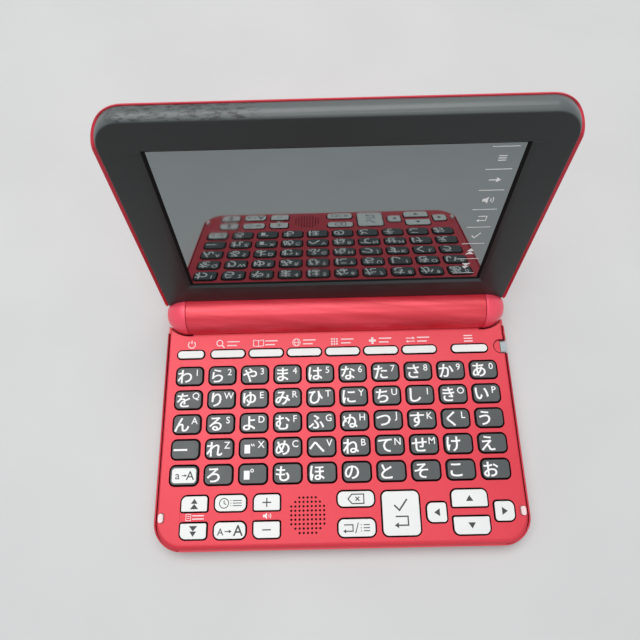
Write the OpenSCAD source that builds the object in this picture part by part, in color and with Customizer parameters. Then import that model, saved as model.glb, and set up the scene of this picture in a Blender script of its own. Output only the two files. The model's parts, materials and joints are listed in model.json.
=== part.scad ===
// Clamshell electronic dictionary: a keyboard base with a battery barrel and a hinged display lid.
// Millimetres, +Z up, the user sits on the -Y side. Origin on the desk under the middle of the open object.

/* [Case] */
// Width across the base and the lid
body_w = 148; // [145:1:160]
// Distance from the hinge axis to the front edge
front_depth = 96.5; // [95.5:0.5:110]
// Thickness of the base from its underside to the deck
base_t = 8.0; // [7.8:0.1:9]
// Height of the lower case wall
lower_h = 6.0; // [5.8:0.1:6.6]
// Radius of the two front corners
corner_r = 11; // [8:0.5:14]
// Side wall thickness
wall = 1.6; // [1.2:0.1:1.8]
// Floor thickness
floor_t = 1.3; // [1:0.1:1.4]
// Deck thickness over the keys
deck_t = 1.6; // [1.2:0.1:1.8]
// Step between the lower case rim and the deck edge
deck_inset = 1.0; // [0.4:0.1:1.2]
// Depth of the rounded front edge of the deck
front_roll = 3.2; // [2:0.1:4]
// Rounding of the lower edge
edge_r = 1.4; // [0.6:0.1:2]
// Gap between the hinge axis and the rear end of the floor
case_back = 4.6; // [4.4:0.1:6]
// Radius of a rubber foot
foot_r = 2.5; // [2:0.1:3]
// Height by which the feet stand out
foot_h = 0.6; // [0.4:0.1:1]
// Depth of the pocket that holds a foot
foot_pocket = 0.5; // [0.3:0.1:0.7]
// Distance of the front feet from the hinge axis
foot_row = 85; // [80:1:88]
// Half spacing of the feet
foot_x = 58.5; // [58:0.5:60]

/* [Hinge] */
// Radius of the barrel
barrel_r = 9.0; // [8.9:0.1:10]
// Length of the fixed barrel
barrel_l = 127.7; // [126:0.1:129]
// Wall of the barrel
barrel_wall = 1.3; // [1:0.1:1.5]
// Arc radius of the rounded end caps
dome_arc = 11.9; // [11:0.1:14]
// Gap between the barrel and an end cap
cap_gap = 0.3; // [0.2:0.1:0.5]
// Gap between an end cap and the deck
dome_gap = 0.8; // [0.5:0.1:1]
// Gap between the lid and the barrel
lid_gap = 0.35; // [0.3:0.05:0.6]
// Radius of the hinge shafts
shaft_r = 2.5; // [2:0.1:3]
// Length of a hinge shaft
shaft_l = 16.5; // [14:0.5:17]
// Depth of a hinge shaft in its end cap
shaft_in = 6; // [5:0.1:6.5]
// Width of an end cap's arm
arm_w = 6; // [5:0.1:6.5]
// Length of an end cap's arm
arm_l = 13; // [10:0.5:13.5]
// Running clearance of the shafts
shaft_fit = 0.05; // [0.03:0.01:0.08]
// Length of a friction clutch
clutch_l = 9.0; // [7:0.1:9.2]
// Opening angle of the lid at rest
lid_open = 107; // [90:1:130]

/* [Lid] */
// Thickness of the lid
lid_t = 6.4; // [6:0.1:7.5]
// Height of the closed lid's inner face above the deck
lid_rise = 1.4; // [1.3:0.1:2]
// Thickness of the back cover
cover_t = 1.5; // [1.2:0.1:1.8]
// Thickness of the bezel face
bezel_t = 1.2; // [1:0.1:1.4]
// Wall of the bezel frame
bezel_wall = 1.9; // [1.5:0.1:2.2]
// Step from the back cover's edge to the bezel's side
bezel_inset = 0.35; // [0.2:0.05:0.6]
// Slope of the bezel's upper edge
bezel_slope = 2.9; // [2:0.1:3.5]
// Slope of the bezel's side edges
bezel_side = 1.4; // [0.8:0.1:1.8]
// Radius of the lid's outer corners
lid_r = 12; // [9:0.5:14]
// Width of the visible glass
glass_w = 116.6; // [110:0.2:119]
// Lower edge of the visible glass, from the axis
glass_v1 = 19.6; // [19:0.1:21]
// Upper edge of the visible glass, from the axis
glass_v2 = 83.4; // [80:0.1:85]
// Width of the sloped frame beside the glass
slope_side = 2.9; // [2:0.1:3.2]
// Height of the sloped frame below the glass
slope_low = 1.6; // [1:0.1:2]
// Height of the sloped frame above the glass
slope_top = 1.0; // [0.6:0.1:1.5]
// Thickness of the display glass
glass_t = 1.0; // [0.7:0.1:1.1]
// Margin of the glass behind the bezel
glass_edge = 2.0; // [1:0.1:2.2]
// Thickness of the display module
lcd_t = 1.7; // [1.2:0.1:1.8]
// Thickness of the display's metal frame
frame_t = 0.6; // [0.4:0.1:0.6]
// Width of a soft gap inside the lid
inner_gap = 0.1; // [0.05:0.01:0.12]

/* [Keys] */
// Width of a character key
char_w = 11.1; // [10:0.1:11.3]
// Depth of a character key
char_h = 7.4; // [6.5:0.05:7.6]
// Spacing of the key columns
col_pitch = 13.92; // [13.6:0.02:13.94]
// Spacing of the key rows
row_pitch = 10.11; // [9.9:0.01:10.2]
// Offset of the key columns to the right
col_shift = -0.3; // [-0.4:0.1:0.2]
// Distance of the first key row from the axis
char_row = 27.6; // [27.4:0.1:28]
// Corner radius of a character key
char_r = 1.9; // [1:0.1:3]
// Gap round a key
key_gap = 0.5; // [0.3:0.05:0.55]
// Height of the keys above the deck
key_proud = 0.6; // [0.4:0.1:0.8]
// Travel of a key
key_travel = 0.7; // [0.5:0.1:0.7]
// Rounding of a key's upper edge
key_edge = 0.4; // [0.2:0.05:0.45]
// Width of the retaining flange beyond the key
flange_over = 0.65; // [0.55:0.05:0.7]
// Thickness of the retaining flange
flange_t = 0.5; // [0.4:0.05:0.55]
// Play between a flange and the deck
flange_play = 0.1; // [0.05:0.01:0.15]
// Radius of the plunger under a key
plunger_r = 1.4; // [1:0.1:1.6]

/* [Pill keys] */
// Distance of the pill keys from the axis
pill_row = 18.1; // [18:0.1:18.3]
// Height of a pill key
pill_h = 3.2; // [3:0.1:3.8]
// Width of a direct-jump pill key
pill_w = 14.4; // [13.5:0.1:14.6]
// Spacing of the direct-jump pill keys
pill_pitch = 16.56; // [16.4:0.02:16.7]
// Place of the first direct-jump pill key
pill_x = -47.0; // [-47.4:0.1:-47]
// Place of the power key
power_x = -63.0; // [-63.2:0.1:-62.8]
// Width of the power key
power_w = 11.2; // [10.5:0.1:11.4]
// Place of the menu key
menu_x = 57.5; // [57:0.1:57.6]
// Width of the menu key
menu_w = 15.1; // [14:0.1:15.4]

/* [Lower keys] */
// Distance of the lower block's middle from the axis
low_row = 83.8; // [83.6:0.1:84]
// Spacing of the two lower rows
low_pitch = 10.0; // [9.8:0.05:10.1]
// Corner radius of the white keys
white_r = 1.1; // [0.8:0.1:2.4]
// Larger corner radius of the white keys
white_big_r = 2.1; // [1.6:0.1:2.4]
// Height of the page and delete keys
white_h = 5.6; // [5:0.1:6.4]
// Place of the page keys
page_x = -58.1; // [-58.3:0.1:-57.9]
// Width of the page keys
page_w = 10.2; // [9.6:0.1:11]
// Place of the history and text size keys
hist_x = -43.8; // [-44:0.1:-43.6]
// Width of the history and text size keys
hist_w = 12.2; // [11.6:0.1:13]
// Height of the history and text size keys
hist_h = 5.9; // [5.2:0.1:6.4]
// Place of the volume keys
vol_x = -29.4; // [-29.6:0.1:-29.2]
// Width of the volume keys
vol_w = 10.2; // [9.6:0.1:11]
// Height of the volume keys
vol_h = 5.8; // [5.2:0.1:6.4]
// Place of the delete and back keys
back_x = 5.8; // [5.6:0.1:6]
// Width of the delete and back keys
back_w = 14.3; // [13.6:0.1:15]
// Height of the back key
back_h = 6.3; // [5.6:0.1:6.8]
// Place of the enter key
enter_x = 23.3; // [22.9:0.1:23.5]
// Width of the enter key
enter_w = 14.5; // [14:0.1:15.6]
// Height of the enter key
enter_h = 16.2; // [15.6:0.1:17]
// Place of the left arrow key
left_x = 37.3; // [37:0.1:37.5]
// Place of the right arrow key
right_x = 63.8; // [63.4:0.1:64]
// Width of the left and right arrow keys
side_w = 7.5; // [7:0.1:8]
// Height of the left and right arrow keys
side_h = 7.1; // [6.6:0.1:8]
// Place of the up and down arrow keys
up_x = 50.5; // [50.3:0.1:50.6]
// Width of the up and down arrow keys
up_w = 13.9; // [13.4:0.1:14.3]
// Height of the up and down arrow keys
up_h = 6.3; // [5.8:0.1:7]
// Depth of the shallow wells that join key pairs
well_t = 0.15; // [0.1:0.05:0.3]

/* [Deck details] */
// Place of the speaker
speaker_x = -13.3; // [-13.5:0.1:-13]
// Radius of the speaker
speaker_r = 8.0; // [7:0.1:8.2]
// Height of the speaker
speaker_t = 3.6; // [3:0.1:3.8]
// Spacing of the grille holes
grille_pitch = 1.62; // [1.5:0.02:1.7]
// Diameter of a grille hole
grille_d = 0.8; // [0.6:0.1:1]
// Distance of the lid bumpers from the middle
bumper_x = 71.0; // [70.6:0.1:71]
// Width of a bumper
bumper_w = 2.0; // [1.6:0.1:2.2]
// Length of a bumper
bumper_l = 3.5; // [3:0.1:4]
// Play between a bumper and the closed lid
bumper_play = 0.15; // [0.1:0.05:0.3]
// Depth of a bumper's pocket
bumper_pocket = 0.8; // [0.5:0.1:1]

/* [Stylus] */
// Distance of the stylus from the axis
stylus_row = 17.5; // [17.3:0.1:17.6]
// Width of the stylus
stylus_w = 5.2; // [4.6:0.1:5.2]
// Thickness of the stylus
stylus_t = 2.6; // [2:0.1:2.6]
// Length of the stylus
stylus_l = 82; // [70:1:86]
// Length of the stylus head outside the deck
head_l = 2.6; // [1.8:0.1:2.8]
// Height of the stylus head
head_h = 5.7; // [4:0.1:5.9]
// Gap round the stylus
stylus_gap = 0.3; // [0.2:0.05:0.3]
// Reach of the thumb scoop in the deck
scoop_r = 2.9; // [2.5:0.1:3.4]
// Depth of the thumb scoop
scoop_t = 0.9; // [0.3:0.05:0.95]

/* [Sockets] */
// Distance of the headphone socket from the axis
jack_row = 12.7; // [12.6:0.1:12.8]
// Radius of the headphone bore
jack_r = 1.8; // [1.7:0.05:1.85]
// Length of the headphone bore
jack_l = 14; // [13.5:0.5:14]
// Distance of the data socket from the axis
usb_row = 19.2; // [19.1:0.1:19.3]
// Width of the data socket
usb_w = 7.4; // [7:0.1:7.5]
// Height of the data socket
usb_h = 2.7; // [2.4:0.1:2.8]
// Depth of the data socket
usb_l = 5.6; // [5:0.1:5.8]
// Distance of the card slot from the axis
card_row = 40.5; // [39:0.5:43]
// Width of the card cover
card_w = 12.4; // [12:0.1:14]
// Thickness of the card cover
card_t = 1.2; // [1:0.1:1.2]
// Radius of the card cover's pins
pin_r = 0.4; // [0.3:0.05:0.45]
// Length of the card cover's pins
pin_l = 1.0; // [0.8:0.1:1.2]
// Running clearance of the card cover's pins
pin_fit = 0.05; // [0.03:0.01:0.08]
// Gap round the card cover
card_gap = 0.25; // [0.2:0.05:0.35]

/* [Inside] */
// Height of the circuit board above the floor
board_rise = 1.1; // [1:0.1:1.2]
// Thickness of the circuit board
board_t = 1.2; // [1:0.1:1.2]
// Thickness of the key mat
mat_t = 0.6; // [0.4:0.1:0.6]
// Radius of a mat dome
nub_r = 1.9; // [1.5:0.1:2.2]
// Gap between a pressed key and its dome
press_gap = 0.1; // [0.05:0.05:0.2]
// Radius of a battery cell
cell_r = 7.1; // [6.9:0.1:7.25]
// Length of a battery cell with its terminal
cell_l = 50.4; // [49.8:0.1:50.6]
// Thickness of a battery contact
contact_t = 0.5; // [0.3:0.1:0.6]
// Radius of a contact plate
contact_r = 6.6; // [6:0.1:7]
// Radius of the contact spring
spring_r = 3.4; // [2.8:0.1:3.8]
// Width of the display cable
cable_w = 3.3; // [2.6:0.1:3.4]
// Thickness of the display cable
cable_t = 0.3; // [0.2:0.05:0.4]
// Half angle of the battery cover
cover_a = 39; // [36:1:40]
// Direction of the battery cover's middle, below the rear
cover_dir = 60; // [58:1:62]
// Length of the battery cover
cover_l = 107.4; // [100:0.2:108]
// Gap round the battery cover
cover_gap = 0.2; // [0.15:0.05:0.3]
// Radius of a screw boss
boss_r = 1.6; // [1.4:0.1:1.6]
// Distance of the side screws from the middle
boss_x = 70.9; // [70.9:0.1:71.1]
// Radius of a screw's shank
screw_r = 0.8; // [0.6:0.05:0.9]
// Radius of a screw's head
screw_head_r = 1.4; // [1.2:0.1:1.4]
// Thickness of a screw's head
screw_head_t = 0.8; // [0.6:0.1:0.9]
// Clearance of a screw in its hole
screw_fit = 0.05; // [0.03:0.01:0.1]

/* [Hidden] */
eps = 0.01;
columns = 10;
rows = 5;
deck_z = foot_h + base_t;
seam_z = foot_h + lower_h;
floor_z = foot_h + floor_t;
deck_low = deck_z - deck_t;
axis_z = foot_h + barrel_r;
half_w = body_w / 2;
inner_w = half_w - wall;
cap_x = barrel_l / 2 + cap_gap;
cap_l = half_w - 0.2 - cap_x;
dome_tip = 6.3;
lid_in = deck_z + lid_rise - axis_z;
cover_z = lid_in + lid_t - cover_t;
bezel_d = lid_t - cover_t;
hollow_v1 = 12.5;
hollow_v2 = front_depth - 3.4;
cable_x = glass_w / 2 - 8.3;
glass_z = lid_in + bezel_t;
lid_back = -front_depth * cos(lid_open) + (lid_in + lid_t) * sin(lid_open) - 0.4;
hinge_y = (front_depth - lid_back) / 2;
key_top = deck_z + key_proud;
flange_top = deck_low - flange_play;
flange_z = flange_top - flange_t;
board_z = floor_z + board_rise;
mat_z = board_z + board_t;
mat_top = mat_z + mat_t;
plunger_z = mat_top + 0.5 + press_gap + key_travel;
strip_t = 0.3;
strip_z = plunger_z - key_travel - press_gap - strip_t;
board_front = front_depth - wall - 1.2;
board_back = char_row - 4.3;
row_a = low_row - low_pitch / 2;
row_b = low_row + low_pitch / 2;
delete_row = row_a - 0.6;
rib_in = stylus_w / 2 + stylus_gap;
rib_t = 0.8;
rib_front = pill_row + 3.2;
card_pivot = floor_z + 0.3;
card_top = card_pivot + 2.5;
boss_rows = [char_row - 2.6, 60];
corner_boss = [half_w - 5.6, front_depth - 5.4];
char_corner = [char_r, char_r, char_r, char_r];
pill_corner = [pill_h / 2 - 0.05, pill_h / 2 - 0.05, pill_h / 2 - 0.05, pill_h / 2 - 0.05];

// Points of a quarter circle that starts at angle a
function arc(x, y, r, a, n = 4) = [
  for (i = [0:n]) let (turn = a + 90 * i / n) [x + r * cos(turn), y + r * sin(turn)]
];
// Rounded rectangle grown by g; the corner radii run from the upper right, counter-clockwise
function plate(w, h, q, g = 0, n = 4) = concat(
  arc(w / 2 - q[0], h / 2 - q[0], q[0] + g, 0, n),
  arc(-w / 2 + q[1], h / 2 - q[1], q[1] + g, 90, n),
  arc(-w / 2 + q[2], -h / 2 + q[2], q[2] + g, 180, n),
  arc(w / 2 - q[3], -h / 2 + q[3], q[3] + g, 270, n)
);
// Outline of the base: round front corners, square rear end on the hinge axis
function base_line(side, front, n = 10) =
  let (x = half_w - side, y = front_depth - front, r = corner_r - side)
  concat([[x, 0], [-x, 0]], arc(-x + r, -y + r, r, 180, n), arc(x - r, -y + r, r, 270, n));
// Outline of the lid, closed: round front corners, small rear corners beside the end caps
function lid_line(side, front, r, n = 10) = let (x = half_w - side, y = front_depth - front, q = 1.5) concat(
  arc(x - q, -case_back + 0.1 - q, q, 0, 4),
  arc(-x + q, -case_back + 0.1 - q, q, 90, 4),
  arc(-x + r, -y + r, r, 180, n),
  arc(x - r, -y + r, r, 270, n)
);
// Opening in front of the glass, with a margin at the sides, below and above
function window(side, low, top) = let (x = glass_w / 2 + side) [
  [x + col_shift, -glass_v1 + low],
  [-x + col_shift, -glass_v1 + low],
  [-x + col_shift, -glass_v2 - top],
  [x + col_shift, -glass_v2 - top]
];
function col_x(i) = (i - (columns - 1) / 2) * col_pitch + col_shift;
function row_y(j) = char_row + j * row_pitch;
function equal(r) = [r, r, r, r];

module at_axis() {
  translate([0, hinge_y, 0]) children();
}

module on_lid() {
  translate([0, hinge_y, axis_z]) rotate([-lid_open, 0, 0]) children();
}

module slab(points, z, t) {
  translate([0, 0, z]) linear_extrude(t) polygon(points);
}

// Solid between outlines of equal point counts, one above the other
module loft(rings, heights) {
  n = len(rings[0]);
  m = len(rings);
  polyhedron(
    [for (k = [0:m - 1], p = rings[k]) [p[0], p[1], heights[k]]],
    concat(
      [[for (i = [0:n - 1]) i]],
      [[for (i = [n - 1:-1:0]) (m - 1) * n + i]],
      [for (k = [0:m - 2], i = [0:n - 1]) [k * n + i, (k + 1) * n + i, (k + 1) * n + (i + 1) % n]],
      [for (k = [0:m - 2], i = [0:n - 1]) [k * n + i, (k + 1) * n + (i + 1) % n, k * n + (i + 1) % n]]
    )
  );
}

module along_x(x, l) {
  translate([x, 0, 0]) rotate([90, 0, 90]) linear_extrude(l) children();
}

// Rounded end of the hinge, grown by g, from the barrel's end outwards
module dome(side, g, l, start = 0) {
  translate([side * (cap_x + start), 0, axis_z]) rotate([0, side * 90, 0]) rotate_extrude($fn = 72)
    intersection() {
      translate([0, -start]) polygon([
        [0, start],
        for (i = [0:14]) let (x = start + (l - start) * i / 14)
          [barrel_r - dome_arc + sqrt(max(pow(dome_arc + g, 2) - pow(max(x, 0), 2), pow(dome_tip, 2))), x],
        [0, l]
      ]);
      square([barrel_r + g, l - start]);
    }
}

module barrel_space(r, l) {
  along_x(-l / 2, l) translate([0, axis_z]) circle(r, $fn = 96);
}

module key_holes(g) {
  for (i = [0:columns - 1], j = [0:rows - 1])
    translate([col_x(i), -row_y(j)]) polygon(plate(char_w, char_h, char_corner, g));
  for (i = [0:5])
    translate([pill_x + i * pill_pitch, -pill_row]) polygon(plate(pill_w, pill_h, pill_corner, g));
  translate([power_x, -pill_row]) polygon(plate(power_w, pill_h, pill_corner, g));
  translate([menu_x, -pill_row]) polygon(plate(menu_w, pill_h, pill_corner, g));
  translate([page_x, -row_a]) polygon(plate(page_w, white_h, page_up_corner(), g));
  translate([page_x, -row_b]) polygon(plate(page_w, white_h, page_down_corner(), g));
  translate([hist_x, -row_a]) polygon(plate(hist_w, hist_h, equal(white_big_r), g));
  translate([hist_x, -row_b]) polygon(plate(hist_w, hist_h, equal(white_big_r), g));
  translate([vol_x, -row_a]) polygon(plate(vol_w, vol_h, page_up_corner(), g));
  translate([vol_x, -row_b]) polygon(plate(vol_w, vol_h, page_down_corner(), g));
  translate([back_x, -delete_row]) polygon(plate(back_w, white_h, equal(white_big_r), g));
  translate([back_x, -row_b]) polygon(plate(back_w, back_h, equal(white_big_r), g));
  translate([enter_x, -low_row]) polygon(plate(enter_w, enter_h, equal(white_big_r), g));
  translate([left_x, -low_row]) polygon(plate(side_w, side_h, left_corner(), g));
  translate([right_x, -low_row]) polygon(plate(side_w, side_h, right_corner(), g));
  translate([up_x, -row_a]) polygon(plate(up_w, up_h, up_corner(), g));
  translate([up_x, -row_b]) polygon(plate(up_w, up_h, down_corner(), g));
}

function page_up_corner() = [white_r, white_big_r, 0.5, 0.5];
function page_down_corner() = [0.5, 0.5, white_big_r, white_r];
function left_corner() = [white_r, white_big_r, white_big_r, white_r];
function right_corner() = [white_big_r, white_r, white_r, white_big_r];
function up_corner() = [white_big_r, white_big_r, 0.6, 0.6];
function down_corner() = [0.6, 0.6, white_big_r, white_big_r];

module grille() {
  reach = [2, 3, 4, 4, 4, 4, 4, 3, 2];
  for (j = [0:8], i = [-reach[j]:reach[j]])
    translate([speaker_x + i * grille_pitch, -low_row + (4 - j) * grille_pitch])
      circle(d = grille_d, $fn = 10);
}

module boss_spots() {
  for (s = [-1, 1]) {
    for (r = boss_rows) translate([s * boss_x, -r]) children();
    translate([s * corner_boss[0], -corner_boss[1]]) children();
  }
}

module jack_path(r, x0, l) {
  translate([x0, -jack_row, floor_z + 2.55]) rotate([0, 90, 0]) cylinder(l, r = r, $fn = 48);
}

module stylus_notch(g) {
  y = stylus_row + rib_in - g;
  translate([half_w - head_l - 0.3, -y, floor_z + 0.1]) cube([head_l + 2, 2 * (rib_in - g), base_t]);
}

module base_upper_case() color([0.86, 0.16, 0.24]) at_axis() difference() {
  loft([
    base_line(deck_inset, deck_inset - 0.2),
    base_line(deck_inset + 0.03, deck_inset + front_roll * 0.05),
    base_line(deck_inset + 0.12, deck_inset + front_roll * 0.2),
    base_line(deck_inset + 0.4, deck_inset + front_roll * 0.5),
    base_line(deck_inset + 0.9, deck_inset + front_roll)
  ], [seam_z, deck_z - 1.2, deck_z - 0.7, deck_z - 0.25, deck_z]);
  translate([0, 0, seam_z - 1]) linear_extrude(deck_low - seam_z + 1) difference() {
    polygon(base_line(deck_inset + wall, deck_inset + wall));
    for (s = [-1, 1]) translate([s * (half_w - 4), -6]) square([14, 7], center = true);
  }
  translate([0, 0, deck_low - 1]) linear_extrude(base_t) {
    key_holes(key_gap);
    grille();
  }
  translate([0, 0, deck_z - well_t]) linear_extrude(1) for (x = [[page_x, page_w], [vol_x, vol_w]])
    translate([x[0] - x[1] / 2 - key_gap, -row_b]) square([x[1] + 2 * key_gap, low_pitch]);
  barrel_space(barrel_r + 0.06, barrel_l + 2 * cap_gap + 1);
  for (s = [-1, 1]) {
    dome(s, dome_gap, 14, -1.5);
    translate([s * bumper_x, -low_row, deck_z - bumper_pocket])
      slab(plate(bumper_w, bumper_l, equal(bumper_w / 2 - 0.05), 0.15), 0, 3);
  }
  jack_path(jack_r + 0.95, -half_w - 1, deck_inset + wall + 1.6);
  stylus_notch(0);
  translate([half_w - head_l - 0.3, -stylus_row, deck_z - scoop_t]) cylinder(2, r = scoop_r, $fn = 40);
  translate([0, 0, deck_low - 1]) boss_spots() {
    cylinder(2, r = screw_r + screw_fit, $fn = 20);
    cylinder(1 - flange_play / 2, r = boss_r + 0.1, $fn = 32);
  }
  translate([0, -case_back / 2, seam_z]) cube([body_w * 2, case_back, 1], center = true);
}

module base_lower_case() color([0.8, 0.14, 0.22]) at_axis() difference() {
  union() {
    difference() {
      loft([
        base_line(edge_r, edge_r),
        base_line(edge_r * 0.5, edge_r * 0.5),
        base_line(edge_r * 0.13, edge_r * 0.13),
        base_line(0, 0),
        base_line(0, 0)
      ], [foot_h, foot_h + edge_r * 0.13, foot_h + edge_r * 0.5, foot_h + edge_r, seam_z]);
      difference() {
        slab(base_line(wall, wall), floor_z, base_t);
        for (s = [-1, 1]) dome(s, dome_gap + wall, 14, -1.5);
      }
      for (s = [-1, 1]) dome(s, dome_gap, 14, -1.5);
    }
    intersection() {
      slab(base_line(0.5, 0.5), floor_z - eps, base_t);
      union() {
        boss_spots() translate([0, 0, floor_z]) cylinder(flange_top - floor_z, r = boss_r, $fn = 32);
        for (x = [-50, 0, 36, 50], y = [34, 72.4]) translate([x, -y, floor_z - eps])
          cylinder(board_rise + eps, r = 1.5, $fn = 24);
        for (y = [-rib_front, -stylus_row + rib_in])
          translate([y < -stylus_row ? -66 : -57.5, y, floor_z - eps])
            cube([y < -stylus_row ? 132 : 128.5, rib_t, strip_z - floor_z + eps]);
      }
    }
  }
  barrel_space(barrel_r + 0.06, barrel_l + 2 * cap_gap + 1);
  translate([0, 0, foot_h]) cube([body_w * 2, case_back * 2, lower_h * 4], center = true);
  boss_spots() {
    cylinder(base_t * 2, r = screw_r + screw_fit, $fn = 20);
    cylinder(foot_h + screw_head_t + 0.1, r = screw_head_r + 0.1, $fn = 28);
  }
  for (s = [-1, 1]) translate([s * foot_x, -foot_row, 0])
    cylinder(foot_h + foot_pocket, r = foot_r + 0.1, $fn = 40);
  jack_path(jack_r + 0.95, -half_w - 1, deck_inset + wall + 1.6);
  jack_box(0.15);
  translate([-half_w - 1, -usb_row - usb_w / 2 - 0.15, floor_z]) cube([wall + 2, usb_w + 0.3, usb_h + 0.25]);
  stylus_notch(0);
  translate([half_w - 6, -stylus_row - rib_in, floor_z + 0.1]) cube([8, 2 * rib_in, base_t]);
  translate([inner_w - 1, -card_row - card_w / 2 - card_gap, card_pivot - card_t / 2 - 0.2])
    cube([wall + 2, card_w + 2 * card_gap, card_top - card_pivot + card_t / 2 + 0.2 + card_gap]);
  translate([inner_w + 0.9, -card_row, card_pivot]) rotate([90, 0, 0])
    cylinder(card_w + 2 * card_gap + 2 * pin_l, r = pin_r + pin_fit, center = true, $fn = 24);
}

module hinge_barrel() color([0.84, 0.14, 0.22]) at_axis() difference() {
  barrel_space(barrel_r, barrel_l);
  barrel_space(barrel_r - barrel_wall, barrel_l - 5);
  barrel_space(shaft_r + 0.4, barrel_l + 2);
  cover_wedge(cover_a + 1, cover_l / 2 + cover_gap, barrel_r + 3);
  for (s = [-1, 1]) translate([s * foot_x, 0, 0]) cylinder(foot_h + foot_pocket, r = foot_r + 0.1, $fn = 40);
}

module cover_wedge(a, h, r) {
  along_x(-h, 2 * h) translate([0, axis_z]) rotate(-cover_dir) polygon([
    [0.2, 0], [r * 1.6 * cos(a), -r * 1.6 * sin(a)], [r * 2.4, 0], [r * 1.6 * cos(a), r * 1.6 * sin(a)]
  ]);
}

module battery_cover() color([0.8, 0.13, 0.21]) at_axis() intersection() {
  difference() {
    barrel_space(barrel_r, cover_l);
    barrel_space(barrel_r - barrel_wall, cover_l + 2);
  }
  cover_wedge(cover_a, cover_l / 2 + 1, barrel_r + 2);
}

module cell(x) {
  along_x(x, cell_l - 1.2) translate([0, axis_z]) circle(cell_r, $fn = 64);
  along_x(x + cell_l - 1.2 - eps, 1.2 + eps) translate([0, axis_z]) circle(2.7, $fn = 40);
}

module battery_left() color("dimgray") at_axis() cell(-cell_l - 0.1);

module battery_right() color("dimgray") at_axis() cell(0.1);

module battery_contacts() color("silver") at_axis() for (s = [-1, 1]) {
  along_x(s > 0 ? cell_l + 0.3 : -cell_l - 1.1 - contact_t, contact_t) translate([0, axis_z])
    circle(contact_r, $fn = 48);
  if (s < 0) along_x(-cell_l - 1.1 - eps, 0.8) translate([0, axis_z]) circle(spring_r, $fn = 40);
}

module main_board() color("darkgreen") at_axis() difference() {
  union() {
    translate([0, 0, board_z]) linear_extrude(board_t) board_line(0.6);
    for (x = [-36, 8, 38]) translate([x, -52, board_z - 0.8]) cube([11, 11, 0.8 + eps]);
    translate([-20, -66, board_z - 0.7]) cube([7, 5, 0.7 + eps]);
  }
  translate([0, 0, board_z - 1]) boss_spots() cylinder(board_t + 2, r = boss_r + 0.3, $fn = 32);
  translate([speaker_x, -low_row, board_z - 1]) cylinder(board_t + 2, r = speaker_r + 0.4, $fn = 64);
}

module board_line(g) {
  x = inner_w - 0.6 - g;
  y = board_front - board_back;
  q = corner_r - wall - 1;
  translate([0, -(board_front + board_back) / 2]) polygon(plate(2 * x, y, [1, 1, q, q], 0, 8));
}

module key_spots() {
  for (i = [0:columns - 1], j = [0:rows - 1]) translate([col_x(i), -row_y(j)]) children();
  for (y = [row_a, row_b]) {
    for (x = [page_x, hist_x, vol_x, up_x]) translate([x, -y]) children();
  }
  translate([back_x, -delete_row]) children();
  translate([back_x, -row_b]) children();
  for (x = [enter_x, left_x, right_x]) translate([x, -low_row]) children();
}

module key_mat() color("gainsboro") at_axis() {
  difference() {
    union() {
      translate([0, 0, mat_z]) linear_extrude(mat_t) board_line(0.9);
      translate([0, 0, mat_top - eps]) key_spots() cylinder(0.5 + eps, r = nub_r, $fn = 20);
    }
    translate([0, 0, mat_z - 1]) boss_spots() cylinder(mat_t + 2, r = boss_r + 0.5, $fn = 32);
    translate([speaker_x, -low_row, mat_z - 1]) cylinder(mat_t + 2, r = speaker_r + 0.4, $fn = 64);
  }
  translate([0, 0, strip_z]) linear_extrude(strip_t) {
    translate([-68, -rib_front]) square([134, rib_front - jack_row - jack_r - 0.9]);
    translate([-57.5, -rib_front]) square([123.5, rib_front - stylus_row + rib_in + rib_t]);
  }
}

module speaker() color("dimgray") at_axis()
  translate([speaker_x, -low_row, flange_top - speaker_t]) difference() {
    union() {
      cylinder(speaker_t, r = speaker_r, $fn = 64);
      translate([0, 0, -0.7]) cylinder(0.8, r = speaker_r * 0.6, $fn = 48);
    }
    translate([0, 0, speaker_t - 0.5]) cylinder(1, r = speaker_r - 0.9, $fn = 64);
  }

module stylus() color([0.55, 0.6, 0.65]) at_axis() translate([half_w - 0.1, -stylus_row, floor_z + 0.3]) {
  along_x(-head_l - stylus_l + 4, stylus_l - 4 + eps) translate([0, stylus_t / 2])
    polygon(plate(stylus_w, stylus_t, equal(1.1)));
  along_x(-head_l, head_l) translate([0, head_h / 2])
    polygon(plate(stylus_w + 0.2, head_h, equal(1.2)));
  translate([-head_l - stylus_l, 0, stylus_t / 2]) rotate([0, 90, 0])
    cylinder(4 + eps, r1 = 0.5, r2 = 1.1, $fn = 24);
}

module lid_bumpers() color("mistyrose") at_axis() {
  line = plate(bumper_w, bumper_l, equal(bumper_w / 2 - 0.05));
  for (s = [-1, 1]) translate([s * bumper_x, -low_row, 0])
    slab(line, deck_z - bumper_pocket, bumper_pocket + lid_rise - bumper_play);
}

module rubber_feet() color("black") at_axis() for (s = [-1, 1], y = [0, -foot_row])
  translate([s * foot_x, y, 0]) cylinder(foot_h + foot_pocket - 0.05, r = foot_r, $fn = 40);

module case_screws() color("silver") at_axis() boss_spots() difference() {
  union() {
    translate([0, 0, foot_h + 0.05]) cylinder(screw_head_t, r = screw_head_r, $fn = 28);
    translate([0, 0, foot_h + 0.1]) cylinder(deck_low + 0.8 - foot_h, r = screw_r, $fn = 20);
  }
  translate([0, 0, foot_h - 0.5]) for (a = [0, 90]) rotate(a) cube([1.8, 0.4, 2], center = true);
}

// Body of the headphone socket, grown by g
module jack_box(g) {
  start = half_w - deck_inset - wall - 0.1;
  translate([-start - g, -jack_row - 2.5 - g, floor_z + 0.05])
    cube([start - half_w + jack_l + 0.7 + 2 * g, 5 + 2 * g, 5 + g]);
}

module headphone_jack() color([0.12, 0.12, 0.13]) at_axis() difference() {
  union() {
    jack_path(jack_r + 0.8, -half_w + 0.2, deck_inset + wall + 0.2);
    jack_box(0);
  }
  jack_path(jack_r, -half_w - 1, jack_l + 1.2);
}

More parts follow.
